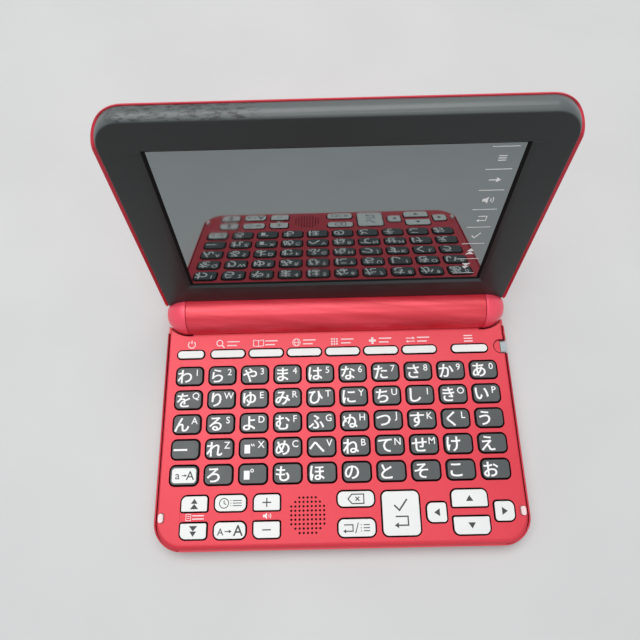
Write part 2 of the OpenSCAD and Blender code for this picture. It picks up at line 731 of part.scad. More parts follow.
module usb_socket() color("silver") at_axis() translate([-half_w + 0.3, -usb_row, floor_z + 0.1]) {
  difference() {
    translate([0, -usb_w / 2, 0]) cube([usb_l, usb_w, usb_h]);
    translate([-1, -usb_w / 2 + 0.35, 0.35]) cube([usb_l, usb_w - 0.7, usb_h - 0.7]);
  }
  translate([0.5, -usb_w / 2 + 1.2, usb_h / 2 - 0.1]) cube([usb_l - 0.7, usb_w - 2.4, 0.6]);
}

module card_slot_cover() color([0.8, 0.14, 0.22]) at_axis()
  translate([inner_w + 0.9, -card_row, card_pivot]) {
    rotate([90, 0, 0]) cylinder(card_w, r = card_t / 2, center = true, $fn = 32);
    translate([-card_t / 2, -card_w / 2, 0]) cube([card_t, card_w, card_top - card_pivot]);
    rotate([90, 0, 0]) cylinder(card_w + 2 * pin_l, r = pin_r, center = true, $fn = 24);
  }

module hinge_clutch() color("darkgray") at_axis() for (s = [-1, 1]) difference() {
  along_x(s > 0 ? barrel_l / 2 - 2.6 - clutch_l : 2.6 - barrel_l / 2, clutch_l) translate([0, axis_z])
    circle(barrel_r - barrel_wall - 0.3, $fn = 64);
  barrel_space(shaft_r + shaft_fit, barrel_l + 2);
}

module hinge_shaft() color("silver") at_axis() for (s = [-1, 1])
  along_x(s > 0 ? cap_x + shaft_in - shaft_l : -cap_x - shaft_in, shaft_l) translate([0, axis_z])
    circle(shaft_r, $fn = 48);

// Arm by which an end cap is held between the bezel and the back cover
module cap_arm(side, g) {
  x = cap_x + 1.5;
  translate([side * x - (side > 0 ? g : arm_w + g), -3 - arm_l - g, glass_z + inner_gap - g])
    cube([arm_w + 2 * g, arm_l, cover_z - glass_z - 2 * inner_gap + 2 * g]);
}

module hinge_cap(side) {
  on_lid() difference() {
    union() {
      translate([0, 0, -axis_z]) dome(side, 0, cap_l);
      cap_arm(side, 0);
    }
    translate([side * (cap_x - 1), 0, 0]) rotate([0, side * 90, 0])
      cylinder(shaft_in + 1.1, r = shaft_r + shaft_fit, $fn = 48);
  }
}

module hinge_cap_left() color([0.88, 0.14, 0.22]) hinge_cap(-1);

module hinge_cap_right() color([0.88, 0.14, 0.22]) hinge_cap(1);

module lid_cut() {
  translate([0, 0, -axis_z]) {
    barrel_space(barrel_r + lid_gap, barrel_l + 2 * cap_gap);
    for (s = [-1, 1]) dome(s, 0.08, cap_l + 0.08, -0.2);
  }
}

module lid_back_cover() color([0.86, 0.14, 0.22]) on_lid() difference() {
  loft([
    lid_line(0, 0, lid_r),
    lid_line(0, 0, lid_r),
    lid_line(0.15, 0.15, lid_r),
    lid_line(0.55, 0.55, lid_r),
    lid_line(1.3, 1.3, lid_r)
  ], [for (k = [0, 0.3, 0.65, 0.88, 1]) cover_z + cover_t * k]);
  lid_cut();
}

module lid_bezel() color([0.2, 0.22, 0.22]) on_lid() difference() {
  loft([
    lid_line(bezel_inset + bezel_side, bezel_inset + bezel_slope, lid_r - 2.6),
    lid_line(bezel_inset + bezel_side * 0.72, bezel_inset + bezel_slope * 0.72, lid_r - 1.8),
    lid_line(bezel_inset + bezel_side * 0.4, bezel_inset + bezel_slope * 0.4, lid_r - 1),
    lid_line(bezel_inset + bezel_side * 0.14, bezel_inset + bezel_slope * 0.14, lid_r - 0.4),
    lid_line(bezel_inset, bezel_inset, lid_r)
  ], [lid_in, lid_in + 0.35, lid_in + bezel_d * 0.3, lid_in + bezel_d * 0.62, cover_z]);
  loft([
    window(slope_side + 0.2, slope_low + 0.1, slope_top + 0.1),
    window(0, 0, 0),
    window(0, 0, 0)
  ], [lid_in - 0.1, glass_z, glass_z + 0.1]);
  hollow_w = 2 * (half_w - bezel_wall - bezel_inset);
  translate([0, -(hollow_v1 + hollow_v2) / 2, glass_z])
    slab(plate(hollow_w, hollow_v2 - hollow_v1, equal(lid_r - 3.5), 0, 8), 0, lid_t);
  for (s = [-1, 1]) cap_arm(s, inner_gap);
  lid_cut();
}

module lid_sheet(side, low, top, z, t) {
  translate([-glass_w / 2 - side + col_shift, -glass_v2 - top, z])
    cube([glass_w + 2 * side, glass_v2 - glass_v1 + low + top, t]);
}

module display_glass() color([0.1, 0.12, 0.13]) on_lid()
  lid_sheet(glass_edge, glass_edge, glass_edge, glass_z, glass_t);

module lcd_module() color("slategray") on_lid()
  lid_sheet(-0.6, -0.4, -0.4, glass_z + glass_t + inner_gap / 2, lcd_t);

module lcd_frame() color("silver") on_lid() difference() {
  lid_sheet(3.4, 4, 4.4, glass_z + glass_t + lcd_t + inner_gap, frame_t);
  lid_sheet(-6, -6, -6, glass_z + glass_t, lid_t);
}

module display_cable() color("orange") on_lid() {
  z = glass_z + glass_t + 0.2;
  end = cable_x - 2.4 * cable_w;
  row = hollow_v1 + 0.6;
  translate([-cable_x, -glass_v1 - 0.3, z]) cube([cable_x - end, glass_v1 - 0.1 - row, cable_t]);
  translate([-cap_x - 1.3, -row - cable_w, z]) cube([cap_x + 1.3 - end, cable_w, cable_t]);
}

module key(x, row, w, h, q) {
  at_axis() translate([x, -row, 0]) {
    loft(
      [plate(w, h, q), plate(w, h, q), plate(w, h, q, -key_edge * 0.3), plate(w, h, q, -key_edge)],
      [flange_z, key_top - key_edge, key_top - key_edge * 0.3, key_top]
    );
    slab(plate(w, h, q, flange_over), flange_z, flange_t);
    translate([0, 0, plunger_z]) cylinder(flange_z - plunger_z + eps, r = plunger_r, $fn = 20);
  }
}

module char_column(i) {
  color(i == 0 ? "gray" : [0.34, 0.36, 0.37]) for (j = [0:rows - 1])
    key(col_x(i), row_y(j), char_w, char_h, char_corner);
}

module pill_key(x, w) {
  color("white") key(x, pill_row, w, pill_h, pill_corner);
}

module keys_col_1() char_column(0);

module keys_col_2() char_column(1);

module keys_col_3() char_column(2);

module keys_col_4() char_column(3);

module keys_col_5() char_column(4);

module keys_col_6() char_column(5);

module keys_col_7() char_column(6);

module keys_col_8() char_column(7);

module keys_col_9() char_column(8);

module keys_col_10() char_column(9);

module key_power() pill_key(power_x, power_w);

module key_jump_1() pill_key(pill_x, pill_w);

module key_jump_2() pill_key(pill_x + pill_pitch, pill_w);

module key_jump_3() pill_key(pill_x + 2 * pill_pitch, pill_w);

module key_jump_4() pill_key(pill_x + 3 * pill_pitch, pill_w);

module key_jump_5() pill_key(pill_x + 4 * pill_pitch, pill_w);

module key_jump_6() pill_key(pill_x + 5 * pill_pitch, pill_w);

module key_menu() pill_key(menu_x, menu_w);

module key_page_up() color("white") key(page_x, row_a, page_w, white_h, page_up_corner());

module key_page_down() color("white") key(page_x, row_b, page_w, white_h, page_down_corner());

module key_history() color("white") key(hist_x, row_a, hist_w, hist_h, equal(white_big_r));

module key_text_size() color("white") key(hist_x, row_b, hist_w, hist_h, equal(white_big_r));

module key_volume_up() color("white") key(vol_x, row_a, vol_w, vol_h, page_up_corner());

module key_volume_down() color("white") key(vol_x, row_b, vol_w, vol_h, page_down_corner());

module key_delete() color("white") key(back_x, delete_row, back_w, white_h, equal(white_big_r));

module key_back() color("white") key(back_x, row_b, back_w, back_h, equal(white_big_r));

module key_enter() color("white") key(enter_x, low_row, enter_w, enter_h, equal(white_big_r));

module key_left() color("white") key(left_x, low_row, side_w, side_h, left_corner());

module key_up() color("white") key(up_x, row_a, up_w, up_h, up_corner());

module key_down() color("white") key(up_x, row_b, up_w, up_h, down_corner());

module key_right() color("white") key(right_x, low_row, side_w, side_h, right_corner());

base_upper_case();
base_lower_case();
hinge_barrel();
battery_cover();
battery_left();
battery_right();
battery_contacts();
main_board();
key_mat();
speaker();
stylus();
lid_bumpers();
rubber_feet();
case_screws();
headphone_jack();
usb_socket();
card_slot_cover();
hinge_clutch();
lid_back_cover();
lid_bezel();
display_glass();
lcd_module();
lcd_frame();
display_cable();
hinge_cap_left();
hinge_cap_right();
hinge_shaft();
keys_col_1();
keys_col_2();
keys_col_3();
keys_col_4();
keys_col_5();
keys_col_6();
keys_col_7();
keys_col_8();
keys_col_9();
keys_col_10();
key_power();
key_jump_1();
key_jump_2();
key_jump_3();
key_jump_4();
key_jump_5();
key_jump_6();
key_menu();
key_page_up();
key_page_down();
key_history();
key_text_size();
key_volume_up();
key_volume_down();
key_delete();
key_back();
key_enter();
key_left();
key_up();
key_down();
key_right();
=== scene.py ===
import json
import math
import bmesh
import bpy
from mathutils import Matrix, Vector

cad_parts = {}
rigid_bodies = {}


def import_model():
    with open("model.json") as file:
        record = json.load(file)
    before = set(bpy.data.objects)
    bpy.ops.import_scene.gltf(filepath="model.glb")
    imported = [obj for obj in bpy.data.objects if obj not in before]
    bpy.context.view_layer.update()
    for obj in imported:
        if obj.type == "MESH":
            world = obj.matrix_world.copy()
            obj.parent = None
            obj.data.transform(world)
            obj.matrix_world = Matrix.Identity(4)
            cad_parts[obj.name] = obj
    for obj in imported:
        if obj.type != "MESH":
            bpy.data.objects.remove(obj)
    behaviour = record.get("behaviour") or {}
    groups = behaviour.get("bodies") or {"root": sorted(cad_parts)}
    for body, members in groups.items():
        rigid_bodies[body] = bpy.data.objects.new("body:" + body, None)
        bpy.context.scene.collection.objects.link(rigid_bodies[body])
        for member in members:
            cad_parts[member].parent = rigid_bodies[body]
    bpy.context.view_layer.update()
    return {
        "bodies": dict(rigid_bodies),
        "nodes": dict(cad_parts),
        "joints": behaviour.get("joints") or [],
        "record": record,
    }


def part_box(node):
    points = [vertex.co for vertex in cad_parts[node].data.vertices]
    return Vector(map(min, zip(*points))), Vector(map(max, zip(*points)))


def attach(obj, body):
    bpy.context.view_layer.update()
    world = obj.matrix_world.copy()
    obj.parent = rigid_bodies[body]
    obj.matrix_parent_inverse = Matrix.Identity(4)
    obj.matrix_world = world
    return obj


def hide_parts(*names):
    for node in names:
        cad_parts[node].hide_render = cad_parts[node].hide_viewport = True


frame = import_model()
mm = 0.001
print("frame loaded")


def measure(node):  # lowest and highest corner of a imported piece, in mm
    low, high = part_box(node)
    return low / mm, high / mm


shaftLow, shaftHigh = measure("hinge_shaft")
barrelHigh = measure("hinge_barrel")[1]
deckLow, deckHigh = measure("base_upper_case")
caseLow, caseHigh = measure("base_lower_case")
capHigh = measure("hinge_cap_right")[1]

hinge = {
    "y": (shaftLow.y + shaftHigh.y) / 2,
    "z": (shaftLow.z + shaftHigh.z) / 2,
    "open": 107,            # opening of the lid at rest, degrees
    "halfBarrel": barrelHigh.x,
    "capGap": 0.3,
    "domeArc": 11.9,        # arc radius of the rounded ends
    "domeTip": 6.3,
}
hinge["radius"] = barrelHigh.z - hinge["z"]
hinge["capStart"] = hinge["halfBarrel"] + hinge["capGap"]
hinge["capEnd"] = capHigh.x
shell = {
    "halfWidth": caseHigh.x,
    "reach": hinge["y"] - caseLow.y,   # from the hinge axis to the front edge
    "top": deckHigh.z,
    "seam": deckLow.z,
    "corner": 11,
    "rear": 4.6,
    "wall": 1.6,
    "step": caseHigh.x - deckHigh.x,   # from the lower case's rim to the deck's side
}
stylusSlot = {"row": 17.5, "width": 5.8}   # distance from the hinge axis, opening in the right flank
weld = {"made": 0.0005, "packed": 0.002, "flat": 1}   # distances in mm that close a mesh, and a flat angle


def newPiece(name, data):
    piece = bpy.data.objects.new(name, data)
    bpy.context.scene.collection.objects.link(piece)
    return piece


def outward(mesh):  # welds doubles and turns every face to the outside
    bm = bmesh.new()
    bm.from_mesh(mesh)
    bmesh.ops.remove_doubles(bm, verts=bm.verts, dist=weld["made"] * mm)
    bmesh.ops.recalc_face_normals(bm, faces=bm.faces)
    bm.to_mesh(mesh)
    bm.free()


def loft(name, rings, place=Matrix.Identity(4), ring=False):  # solid through outlines of equal point counts
    count = len(rings[0])
    verts = [(place @ Vector(p)) * mm for line in rings for p in line]
    faces = []
    for k in range(len(rings) if ring else len(rings) - 1):
        a, b = k * count, ((k + 1) % len(rings)) * count
        faces += [(a + i, a + (i + 1) % count, b + (i + 1) % count, b + i) for i in range(count)]
    if not ring:
        faces += [tuple(reversed(range(count))), tuple(range(len(verts) - count, len(verts)))]
    mesh = bpy.data.meshes.new(name)
    mesh.from_pydata(verts, [], faces)
    outward(mesh)
    return newPiece(name, mesh)


def quarter(x, y, r, start, steps=10):
    angles = [math.radians(start + 90 * i / steps) for i in range(steps + 1)]
    return [(x + r * math.cos(a), y + r * math.sin(a)) for a in angles]


def roundLine(w, h, radii, grow=0, steps=8):  # corner radii run from the upper right, counter-clockwise
    line = []
    for k, r in enumerate(radii):
        x, y = ((1, -1, -1, 1)[k] * (w / 2 - r), (1, 1, -1, -1)[k] * (h / 2 - r))
        line += quarter(x, y, r + grow, 90 * k, steps)
    return line


def lift(line, z, x=0, y=0):
    return [(px + x, py + y, z) for px, py in line]


def prism(name, line, low, high, x=0, y=0):
    return loft(name, [lift(line, low, x, y), lift(line, high, x, y)])


def lathe(name, profile, steps=128):  # turned about the hinge axis, profile of (x, radius)
    turns = [2 * math.pi * i / steps for i in range(steps)]
    y, z = hinge["y"], hinge["z"]
    return loft(name, [[(x, y + r * math.cos(a), z + r * math.sin(a)) for a in turns] for x, r in profile])


def join(name, pieces):
    bm = bmesh.new()
    for piece in pieces:
        bm.from_mesh(piece.data)
        bpy.data.objects.remove(piece)
    mesh = bpy.data.meshes.new(name)
    bm.to_mesh(mesh)
    bm.free()
    return newPiece(name, mesh)


def bake(piece):  # modifiers become a plain mesh
    bpy.context.view_layer.update()
    graph = bpy.context.evaluated_depsgraph_get()
    solid = bpy.data.meshes.new_from_object(piece.evaluated_get(graph))
    piece.modifiers.clear()
    piece.data = solid
    return piece


def cut(piece, tools):
    for tool in tools:
        carve = piece.modifiers.new("carve", "BOOLEAN")
        carve.operation = "DIFFERENCE"
        carve.solver = "EXACT"
        carve.object = tool
    bake(piece)
    for tool in tools:
        bpy.data.objects.remove(tool)
    outward(piece.data)
    return piece


def soften(piece, width, steps=2, angle=32, rim=-1):  # rounds the crisp edges and evens the shading
    piece.data.shade_smooth()
    edge = piece.modifiers.new("softEdge", "BEVEL")
    edge.width = width * mm
    edge.segments = steps
    edge.limit_method = "ANGLE"
    edge.angle_limit = math.radians(angle)
    edge.use_clamp_overlap = True
    edge.material = rim       # slot that the rounded edge takes, -1 for its neighbours'
    even = piece.modifiers.new("evenShading", "WEIGHTED_NORMAL")
    even.keep_sharp = True
    return piece


def lined(tool, *materials):  # a cutter leaves its last material on the walls that it cuts
    tool.data.materials.clear()
    for material in materials:
        tool.data.materials.append(material)
    for side in tool.data.polygons:
        side.material_index = len(materials) - 1
    return tool


def finishPiece(piece, body, slot, *materials, replaces=()):
    if materials:
        piece.data.materials.clear()
        for material in materials:
            piece.data.materials.append(material)
    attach(piece, body)
    if replaces:
        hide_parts(*replaces)
    return piece


def softCopy(node, name, width, body, slot, material, steps=2):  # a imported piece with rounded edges
    mesh = frame["nodes"][node].data.copy()
    bm = bmesh.new()
    bm.from_mesh(mesh)
    bmesh.ops.remove_doubles(bm, verts=bm.verts, dist=weld["packed"] * mm)
    bmesh.ops.dissolve_limit(bm, angle_limit=math.radians(weld["flat"]), verts=bm.verts, edges=bm.edges)
    bm.to_mesh(mesh)
    bm.free()
    if "custom_normal" in mesh.attributes:
        mesh.attributes.remove(mesh.attributes["custom_normal"])
    piece = newPiece(name, mesh)
    soften(piece, width, steps)
    return finishPiece(piece, body, slot, material, replaces=(node,))


def tone(r, g, b):  # display colour to scene colour
    def linear(c):
        c = c / 255
        return c / 12.92 if c <= 0.04045 else ((c + 0.055) / 1.055) ** 2.4
    return (linear(r), linear(g), linear(b), 1)


class Finish:  # one material with its node tree
    def __init__(self, name, settings):
        self.material = bpy.data.materials.new(name)
        self.material.use_nodes = True
        self.nodes = self.material.node_tree.nodes
        self.links = self.material.node_tree.links
        self.shader = self.nodes["Principled BSDF"]
        for key, value in settings.items():
            self.shader.inputs[key].default_value = value

    def add(self, kind, settings=(), **inputs):
        node = self.nodes.new(kind)
        for key, value in dict(settings).items():
            setattr(node, key, value)
        for key, value in inputs.items():
            self.feed(value, node.inputs[key.replace("_", " ")])
        return node

    def feed(self, value, socket):
        if isinstance(value, bpy.types.NodeSocket):
            self.links.new(value, socket)
        else:
            socket.default_value = value

    def place(self, stretch=(1, 1, 1), turn=(0, 0, 0), shift=(0, 0, 0), source=None):
        angles = [math.radians(a) for a in turn]
        mapping = self.add("ShaderNodeMapping", Scale=stretch, Rotation=angles, Location=shift)
        source = source or self.add("ShaderNodeTexCoord").outputs["Object"]   # object coordinates, in metres
        self.links.new(source, mapping.inputs["Vector"])
        return mapping.outputs["Vector"]

    def noise(self, scale, detail=3.0, where=None, rough=0.5):
        node = self.add("ShaderNodeTexNoise", Scale=scale, Detail=detail, Roughness=rough)
        self.links.new(where or self.place(), node.inputs["Vector"])
        return node.outputs["Fac"]

    def flakes(self, scale):
        node = self.add("ShaderNodeTexVoronoi", Scale=scale)
        self.links.new(self.place(), node.inputs["Vector"])
        return node.outputs["Color"]

    def math(self, operation, first, second=0.0):
        node = self.add("ShaderNodeMath", {"operation": operation})
        self.feed(first, node.inputs[0])
        self.feed(second, node.inputs[1])
        return node.outputs[0]

    def spread(self, value, fromLow, fromHigh, low=0, high=1):
        node = self.add("ShaderNodeMapRange", From_Min=fromLow, From_Max=fromHigh, To_Min=low, To_Max=high)
        self.links.new(value, node.inputs["Value"])
        return node.outputs["Result"]

    def patches(self, noise):   # soft noise, made to run from 0 to 1
        return self.spread(noise, 0.35, 0.65)

    def gloss(self, noise, low, high):   # roughness that follows a noise
        return self.spread(noise, 0.3, 0.7, low, high)

    def blend(self, factor, first, second):
        node = self.add("ShaderNodeMix", {"data_type": "RGBA"})
        self.feed(factor, node.inputs[0])
        self.feed(first, node.inputs[6])
        self.feed(second, node.inputs[7])
        return node.outputs[2]

    def relief(self, height, depth, strength=1.0, under=None):  # depth in mm
        node = self.add("ShaderNodeBump", Strength=strength, Distance=depth * mm)
        self.links.new(height, node.inputs["Height"])
        if under:
            self.links.new(under, node.inputs["Normal"])
        return node.outputs["Normal"]

    def wear(self, colour=None, rough=None, normal=None):  # sends the results to the shader
        for value, key in ((colour, "Base Color"), (rough, "Roughness"), (normal, "Normal")):
            if value is not None:
                self.feed(value, self.shader.inputs[key])
        return self.material


def moulded(name, first, second, rough, grain=2600, depth=0.004, cloud=40, settings=None):
    # plastic, rubber or paint: cloudy colour, varying gloss and a fine moulded grain
    finish = Finish(name, settings or {})
    colour = finish.blend(finish.patches(finish.noise(cloud)), tone(*first), tone(*second))
    gloss = finish.gloss(finish.noise(cloud * 4), rough * 0.88, rough * 1.12)
    return finish.wear(colour, gloss, finish.relief(finish.noise(grain, 2), depth))


def metal(name, first, second, rough, stretch):
    # drawn or stamped metal: fine lines along one way
    look = {"lines": 900, "depth": 0.004}
    finish = Finish(name, {"Metallic": 1.0})
    lines = finish.noise(look["lines"], 4, finish.place(stretch))
    colour = finish.blend(finish.patches(lines), tone(*first), tone(*second))
    gloss = finish.gloss(lines, rough * 0.8, rough * 1.25)
    return finish.wear(colour, gloss, finish.relief(lines, look["depth"]))


redLook = {
    "base": (212, 42, 62), "deep": (200, 33, 53), "rough": 0.4,
    "metallic": 0.25, "coat": 0.25, "coatRough": 0.34,
    "cloud": 28, "cloudShare": 0.6,
    "flake": 5200, "flakeDepth": 0.0012, "spark": 0.55, "sparkShare": 0.4,
}
barrelBrushAndSheen = {   # long soft bands under fine lines, both a little across the length; the bands' share of the colour is a painted sheen
    "stretch": (0.05, 1, 1), "turn": (0, 0, 8),
    "bands": 260, "bandSheenShare": 0.75, "bandDepth": 0.012,
    "lines": 1300, "lineShare": 0.25, "lineDepth": 0.0012,
}


def redPaint(name, base, deep, rough, brushed=None):  # metallic paint, brushed on the barrel, where the brush bands also carry a painted sheen
    look = redLook
    finish = Finish(name, {"Metallic": look["metallic"], "Coat Weight": look["coat"],
                           "Coat Roughness": look["coatRough"]})
    cloud = finish.noise(look["cloud"], 2)
    spark = finish.spread(finish.flakes(look["flake"]), 0, 1, 0, look["spark"])
    mixed = finish.math("ADD", finish.math("MULTIPLY", cloud, look["cloudShare"]),
                        finish.math("MULTIPLY", spark, look["sparkShare"]))
    normal = finish.relief(finish.noise(look["flake"], 1), look["flakeDepth"])
    gloss = finish.gloss(cloud, rough * 0.92, rough * 1.08)
    if brushed:
        where = finish.place(brushed["stretch"], source=finish.place(turn=brushed["turn"]))
        bands = finish.spread(finish.noise(brushed["bands"], 2, where, 0.4), 0.3, 0.7)
        lines = finish.spread(finish.noise(brushed["lines"], 3, where, 0.5), 0.25, 0.75)
        # painted sheen: the soft bands lighten and darken the colour like streaks of reflected light, and
        # also set real bump and gloss
        mixed = finish.math("ADD", finish.math("MULTIPLY", bands, brushed["bandSheenShare"]),
                            finish.math("MULTIPLY", lines, brushed["lineShare"]))
        gloss = finish.spread(bands, 0, 1, rough * 1.2, rough * 0.8)
        normal = finish.relief(bands, brushed["bandDepth"], 1.0, normal)
        normal = finish.relief(lines, brushed["lineDepth"], 1.0, normal)
    return finish.wear(finish.blend(mixed, tone(*deep), tone(*base)), gloss, normal)


caseRed = redPaint("caseRed", redLook["base"], redLook["deep"], redLook["rough"])
undersideRed = redPaint("undersideRed", (204, 40, 60), (192, 32, 50), 0.45)
barrelRed = redPaint("barrelRed", (240, 64, 82), (200, 28, 44), 0.36, barrelBrushAndSheen)
capRed = redPaint("capRed", (255, 84, 108), (252, 76, 100), 0.36)

matt = {"Specular IOR Level": 0.12}
keyGrey = moulded("keyGrey", (72, 77, 79), (64, 69, 71), 0.42, 3200, 0.006)
# dark key edge with painted shade: the maroon tint stands in for the shade of the red gap round the keys
keyEdge = moulded("keyEdge", (36, 13, 19), (27, 9, 14), 0.5, 2400, 0.006, settings=matt)
# painted shade: dark maroon for the walls of key holes, grille holes and bumper pockets; also the dark
# parting line beside the stylus
wellShade = moulded("wellShade", (52, 4, 13), (40, 3, 10), 0.75, 1800, 0.01, settings=matt)
keyWhite = moulded("keyWhite", (236, 238, 237), (229, 232, 231), 0.34, 3000, 0.003)
# painted shade: near-black with a red cast for key flanges, the lower sides of white keys and the seam
# groove, where only shadow falls
paintedGapShade = moulded("paintedGapShade", (20, 7, 10), (13, 5, 7), 0.8, 1800, 0.01, settings=matt)
# painted shadow: near-black for the band where the glass meets the frame
paintedFrameShadow = moulded("paintedFrameShadow", (10, 12, 12), (7, 8, 8), 0.5, 1800, 0.004, settings=matt)
printWhite = moulded("printWhite", (250, 251, 251), (243, 245, 246), 0.5, 3000, 0.002)
printPale = moulded("printPale", (247, 228, 230), (240, 220, 223), 0.5, 3000, 0.002)
printGrey = moulded("printGrey", (46, 48, 52), (38, 40, 44), 0.5, 3000, 0.002)
bumperWhite = moulded("bumperWhite", (246, 224, 224), (238, 212, 214), 0.4, 1500, 0.004,
                      settings={"Subsurface Weight": 0.2, "Subsurface Radius": (0.002, 0.001, 0.001)})
stylusGrey = moulded("stylusGrey", (176, 188, 193), (164, 176, 182), 0.38, 1800, 0.006)
footRubber = moulded("footRubber", (34, 34, 36), (26, 26, 28), 0.75, 1400, 0.02)
blackPlastic = moulded("blackPlastic", (30, 30, 32), (22, 22, 24), 0.45, 1600, 0.01)
steel = metal("steel", (196, 198, 200), (168, 170, 174), 0.28, (1, 8, 8))
springSteel = metal("springSteel", (178, 180, 182), (148, 150, 154), 0.32, (1, 10, 10))
clutchMetal = metal("clutchMetal", (156, 158, 160), (128, 130, 134), 0.36, (12, 1, 1))
cellSleeve = moulded("cellSleeve", (88, 92, 96), (70, 74, 78), 0.3, 500, 0.01, settings={"Metallic": 0.4})
siliconeMat = moulded("siliconeMat", (206, 208, 208), (192, 194, 195), 0.6, 900, 0.01,
                      settings={"Subsurface Weight": 0.3, "Subsurface Radius": (0.002, 0.002, 0.002)})
flexCable = moulded("flexCable", (196, 120, 42), (178, 104, 34), 0.35, 700, 0.006)
lcdGlass = moulded("lcdGlass", (96, 104, 106), (88, 96, 98), 0.2, 2600, 0.001)


def boardFinish():  # green board with copper tracks under the mask
    look = {"tracks": 260.0, "line": 0.03,
            "mask": (18, 74, 44), "second": (24, 86, 50), "copper": (58, 122, 70)}
    finish = Finish("boardGreen", {"Specular IOR Level": 0.5})
    brick = finish.add("ShaderNodeTexBrick", Scale=look["tracks"], Mortar_Size=look["line"],
                       Color1=tone(*look["mask"]), Color2=tone(*look["second"]), Mortar=tone(*look["copper"]))
    finish.links.new(finish.place(), brick.inputs["Vector"])
    return finish.wear(brick.outputs["Color"], finish.gloss(finish.noise(300), 0.3, 0.45),
                       finish.relief(brick.outputs["Fac"], 0.02))


def clothFinish():  # woven cloth behind the speaker holes
    look = {"threads": 900.0, "uneven": 0.6, "depth": 0.05,
            "dark": (10, 9, 10), "pale": (38, 34, 36), "rough": 0.9}
    finish = Finish("speakerCloth", {"Sheen Weight": 0.3})
    ways = []
    for way in ("X", "Y"):
        wave = finish.add("ShaderNodeTexWave", {"bands_direction": way}, Scale=look["threads"],
                          Distortion=look["uneven"])
        finish.links.new(finish.place(), wave.inputs["Vector"])
        ways.append(wave.outputs["Fac"])
    weave = finish.math("MULTIPLY", *ways)
    colour = finish.blend(weave, tone(*look["dark"]), tone(*look["pale"]))
    return finish.wear(colour, look["rough"], finish.relief(weave, look["depth"]))


boardGreen = boardFinish()
speakerCloth = clothFinish()

lidTurn = {"turn": (hinge["open"], 0, 0)}  # brings object coordinates back to the closed lid
turned = Matrix.Rotation(math.radians(hinge["open"]), 3, "X") @ Vector((0, hinge["y"] * mm, hinge["z"] * mm))
lidTurn["shift"] = tuple(-turned)


def bezelFinish():  # charcoal soft-touch paint, rubbed at the upper left rim, with a painted sheen on the rolled rim
    look = {"base": (24, 27, 28), "second": (19, 22, 22), "rough": 0.36, "grain": 3400, "grainDepth": 0.004,
            # painted sheen: rim is a paler colour on the rolled rim, standing in for the light it reflects
            "rim": (84, 90, 91), "sheenRows": (-83, -90), "sheenHeights": (0.44, 0.64),
            "worn": (30, 32, 33), "wornRough": 0.2, "wornDepth": 0.012,
            "streaks": 1100, "streakStretch": (0.3, 1, 1),
            "wornStart": (-70, -62), "wornEnd": (-26, -20), "wornRows": (-93.4, -94.4)}
    finish = Finish("bezelCharcoal", {"Coat Weight": 0.3, "Coat Roughness": 0.26, "Specular IOR Level": 0.35})
    axes = finish.add("ShaderNodeSeparateXYZ")
    finish.links.new(finish.place(turn=lidTurn["turn"], shift=lidTurn["shift"]), axes.inputs[0])

    def fade(axis, ends, low=0, high=1):   # along one axis of the closed lid, in mm
        return finish.spread(axes.outputs[axis], ends[0] * mm, ends[1] * mm, low, high)

    length = finish.math("MULTIPLY", fade("X", look["wornEnd"], 1, 0), fade("X", look["wornStart"]))
    area = finish.math("MULTIPLY", length, fade("Y", look["wornRows"]))
    streaks = finish.noise(look["streaks"], 5, finish.place(look["streakStretch"]), 0.7)
    worn = finish.math("MULTIPLY", area, finish.spread(streaks, 0.46, 0.62))
    base = finish.blend(finish.patches(finish.noise(30)), tone(*look["base"]), tone(*look["second"]))
    rimSheenMask = finish.math("MULTIPLY", fade("Y", look["sheenRows"]), fade("Z", look["sheenHeights"]))
    base = finish.blend(rimSheenMask, base, tone(*look["rim"]))   # painted sheen: the rolled rim paler, as where it catches the light from above
    colour = finish.blend(worn, base, tone(*look["worn"]))
    gloss = finish.math("ADD", finish.gloss(finish.noise(90), look["rough"] * 0.9, look["rough"] * 1.1),
                        finish.math("MULTIPLY", worn, look["wornRough"]))
    grain = finish.relief(finish.noise(look["grain"], 2), look["grainDepth"])
    return finish.wear(colour, gloss, finish.relief(worn, look["wornDepth"], 0.6, grain))


def glassFinish():  # dark display under a reflective touch panel, with faint finger marks
    look = {"dark": (16, 19, 21), "pale": (22, 25, 27), "smudge": 38, "rough": (0.02, 0.075)}
    mirror = {"IOR": 2.22, "Specular IOR Level": 1.0, "Specular Tint": (0.9, 0.99, 1, 1)}
    finish = Finish("screenGlass", mirror)
    smudge = finish.noise(look["smudge"], 5, rough=0.6)
    colour = finish.blend(finish.patches(smudge), tone(*look["dark"]), tone(*look["pale"]))
    return finish.wear(colour, finish.spread(smudge, 0.45, 0.75, *look["rough"]))


bezelCharcoal = bezelFinish()
screenGlass = glassFinish()
lidRed = redPaint("lidRed", (214, 42, 64), (202, 32, 54), 0.28)
print("finishes ready")


def newTree(name, sockets):
    tree = bpy.data.node_groups.new(name, "GeometryNodeTree")
    for label, kind, value in sockets:
        socket = tree.interface.new_socket(name=label, in_out="INPUT", socket_type="NodeSocket" + kind)
        if value is not None:
            socket.default_value = value
    tree.interface.new_socket(name="Geometry", in_out="OUTPUT", socket_type="NodeSocketGeometry")
    return tree, tree.nodes.new("NodeGroupInput"), tree.nodes.new("NodeGroupOutput")


def step(tree, kind, settings=(), **inputs):  # one node with its inputs fed by name, or by number as in i0
    node = tree.nodes.new(kind)
    for key, value in dict(settings).items():
        setattr(node, key, value)
    for key, value in inputs.items():
        numbered = key[0] == "i" and key[1:].isdigit()
        socket = node.inputs[int(key[1:]) if numbered else key.replace("_", " ")]
        if isinstance(value, bpy.types.NodeSocket):
            tree.links.new(value, socket)
        else:
            socket.default_value = value
    return node


def sums(tree, operation, *values):  # one step of arithmetic
    inputs = {f"i{k}": value for k, value in enumerate(values)}
    return step(tree, "ShaderNodeMath", {"operation": operation}, **inputs).outputs[0]


